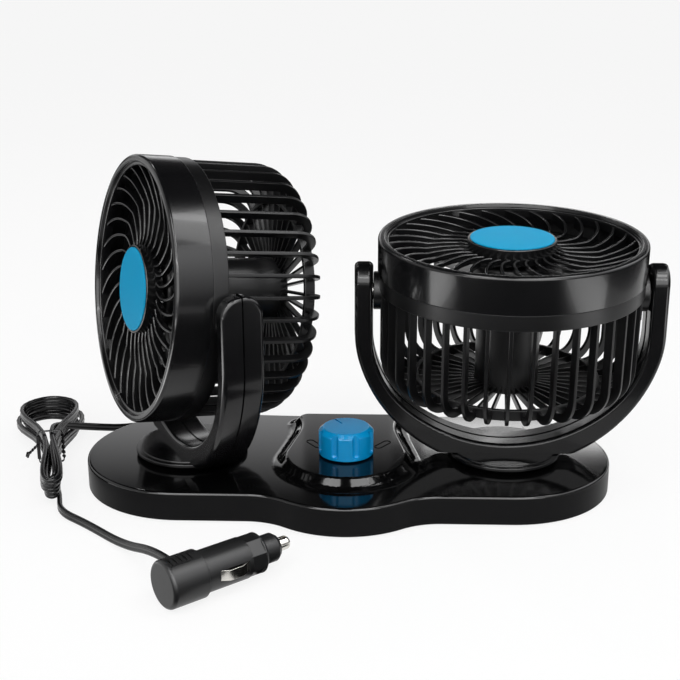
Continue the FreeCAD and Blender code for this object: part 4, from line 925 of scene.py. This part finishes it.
for name, material, corner, first, second in (
        ("top_card", card_black, (-1.6, -1.3, 1.9), (3.2, 0, 0), (0, 2.8, 0)),
        ("side_card", fades["side_fade"], (1.6, -2.2, 0), (0, 3.7, 0), (0, 0, 1.9)),
        ("back_card", card_black, (0.04, 1.5, 0.64), (1.56, 0, 0), (0, 0, 1.26)),
        ("fade_card", fades["back_fade"], (-1.6, 1.5, 0.40), (1.64, 0, 0), (0, 0, 1.5)),
        ("lobe_card", fades["lobe_fade"], (-0.55, 1.49, 0.40), (0.42, 0, 0), (0, 0, 0.36)),
        ("low_card", card_black, (-1.6, 1.5, 0), (3.2, 0, 0), (0, 0, 0.30)),
        ("rear_card", card_black, (-0.42, 0.40, flat), (0.96, 0, 0), (0, 1.1, 0)),
        ("front_card", card_black, (-0.20, -0.60, flat), (0.54, 0, 0), (0, 0.44, 0)),
        ("plug_card", card_black, (-0.040, -0.135, flat), (0.04, 0, 0), (0, 0.023, 0)),
        ("left_front_card", card_black, (-0.60, -0.60, flat), (0.40, 0, 0), (0, 0.30, 0)),
        ("right_front_card", card_black, (0.34, -0.60, flat), (0.9, 0, 0), (0, 0.18, 0)),
        ("left_card", card_black, (-1.2, -0.30, flat), (0.78, 0, 0), (0, 1.5, 0)),
        ("right_card", card_black, (0.54, -0.42, flat), (0.7, 0, 0), (0, 1.6, 0)),
        ("strip_glow", glows["soft_glow"], (0.10, 1.5, 0.58), (0.36, 0, 0), (0, 0, 0.06)),
        ("right_glow", glows["soft_glow"], (0.36, -0.42, flat), (0.18, 0, 0), (0, 0.30, 0)),
        ("front_glow", glows["bright_glow"], (-0.95, -1.1, flat), (0.65, 0, 0), (0, 0.5, 0)),
        ("left_glow", glows["clear_glow"], (-0.42, -0.30, flat), (0.18, 0, 0), (0, 0.32, 0)),
        ("sky_glow", glows["soft_glow"], (-1.4, -1.6, 0.25), (2.8, 0, 0), (0, 0, 1.75)),
        ("knob_card", card_black, (-0.035, -0.165, flat), (0.07, 0, 0), (0, 0.05, 0)),
        ("left_box", glows["clear_glow"], (-0.68, -0.90, 1.27), (0.54, 0, 0), (0, 0.50, 0)),
        ("right_box", glows["clear_glow"], (0.14, -0.90, 1.27), (0.54, 0, 0), (0, 0.50, 0)),
        ("top_box", glows["clear_glow"], (0.50, -0.10, 1.27), (0.25, 0, 0), (0, 0.35, 0))):
    bpy.ops.mesh.primitive_plane_add(size=1)
    card = bpy.context.object
    card.name = name
    for vertex in card.data.vertices:
        share = vertex.co + Vector((0.5, 0.5, 0))
        vertex.co = Vector(corner) + Vector(first) * share.x + Vector(second) * share.y
    card.data.materials.append(material)
    card.visible_camera = False
    card.visible_diffuse = False
    card.visible_shadow = False
for name, spot, target, size, power in (("left_lamp", (-0.42, -0.66, 1.25), (0, 0, 0.1), (0.40, 0.40), 3.2),
                                        ("right_lamp", (0.42, -0.66, 1.25), (0, 0, 0.1), (0.40, 0.40), 3.2),
                                        ("brow_lamp", (0, -1.15, 0.90), (0, 0, 0.1), (1.60, 0.06), 5),
                                        ("side_lamp", (0.62, -0.20, 1.12), (0, 0, 0.15), (0.35, 0.50), 3.2),
                                        ("back_lamp", (-0.55, 0.90, 1.20), (0, 0, 0.1), (0.12, 0.12), 1)):
    bpy.ops.object.light_add(type="AREA", location=spot)
    lamp = bpy.context.object
    lamp.name = name
    lamp.data.shape = "RECTANGLE"
    lamp.data.size, lamp.data.size_y = size
    lamp.data.energy = power
    lamp.rotation_euler = (Vector(target) - Vector(spot)).to_track_quat("-Z", "Y").to_euler()

bpy.context.view_layer.update()
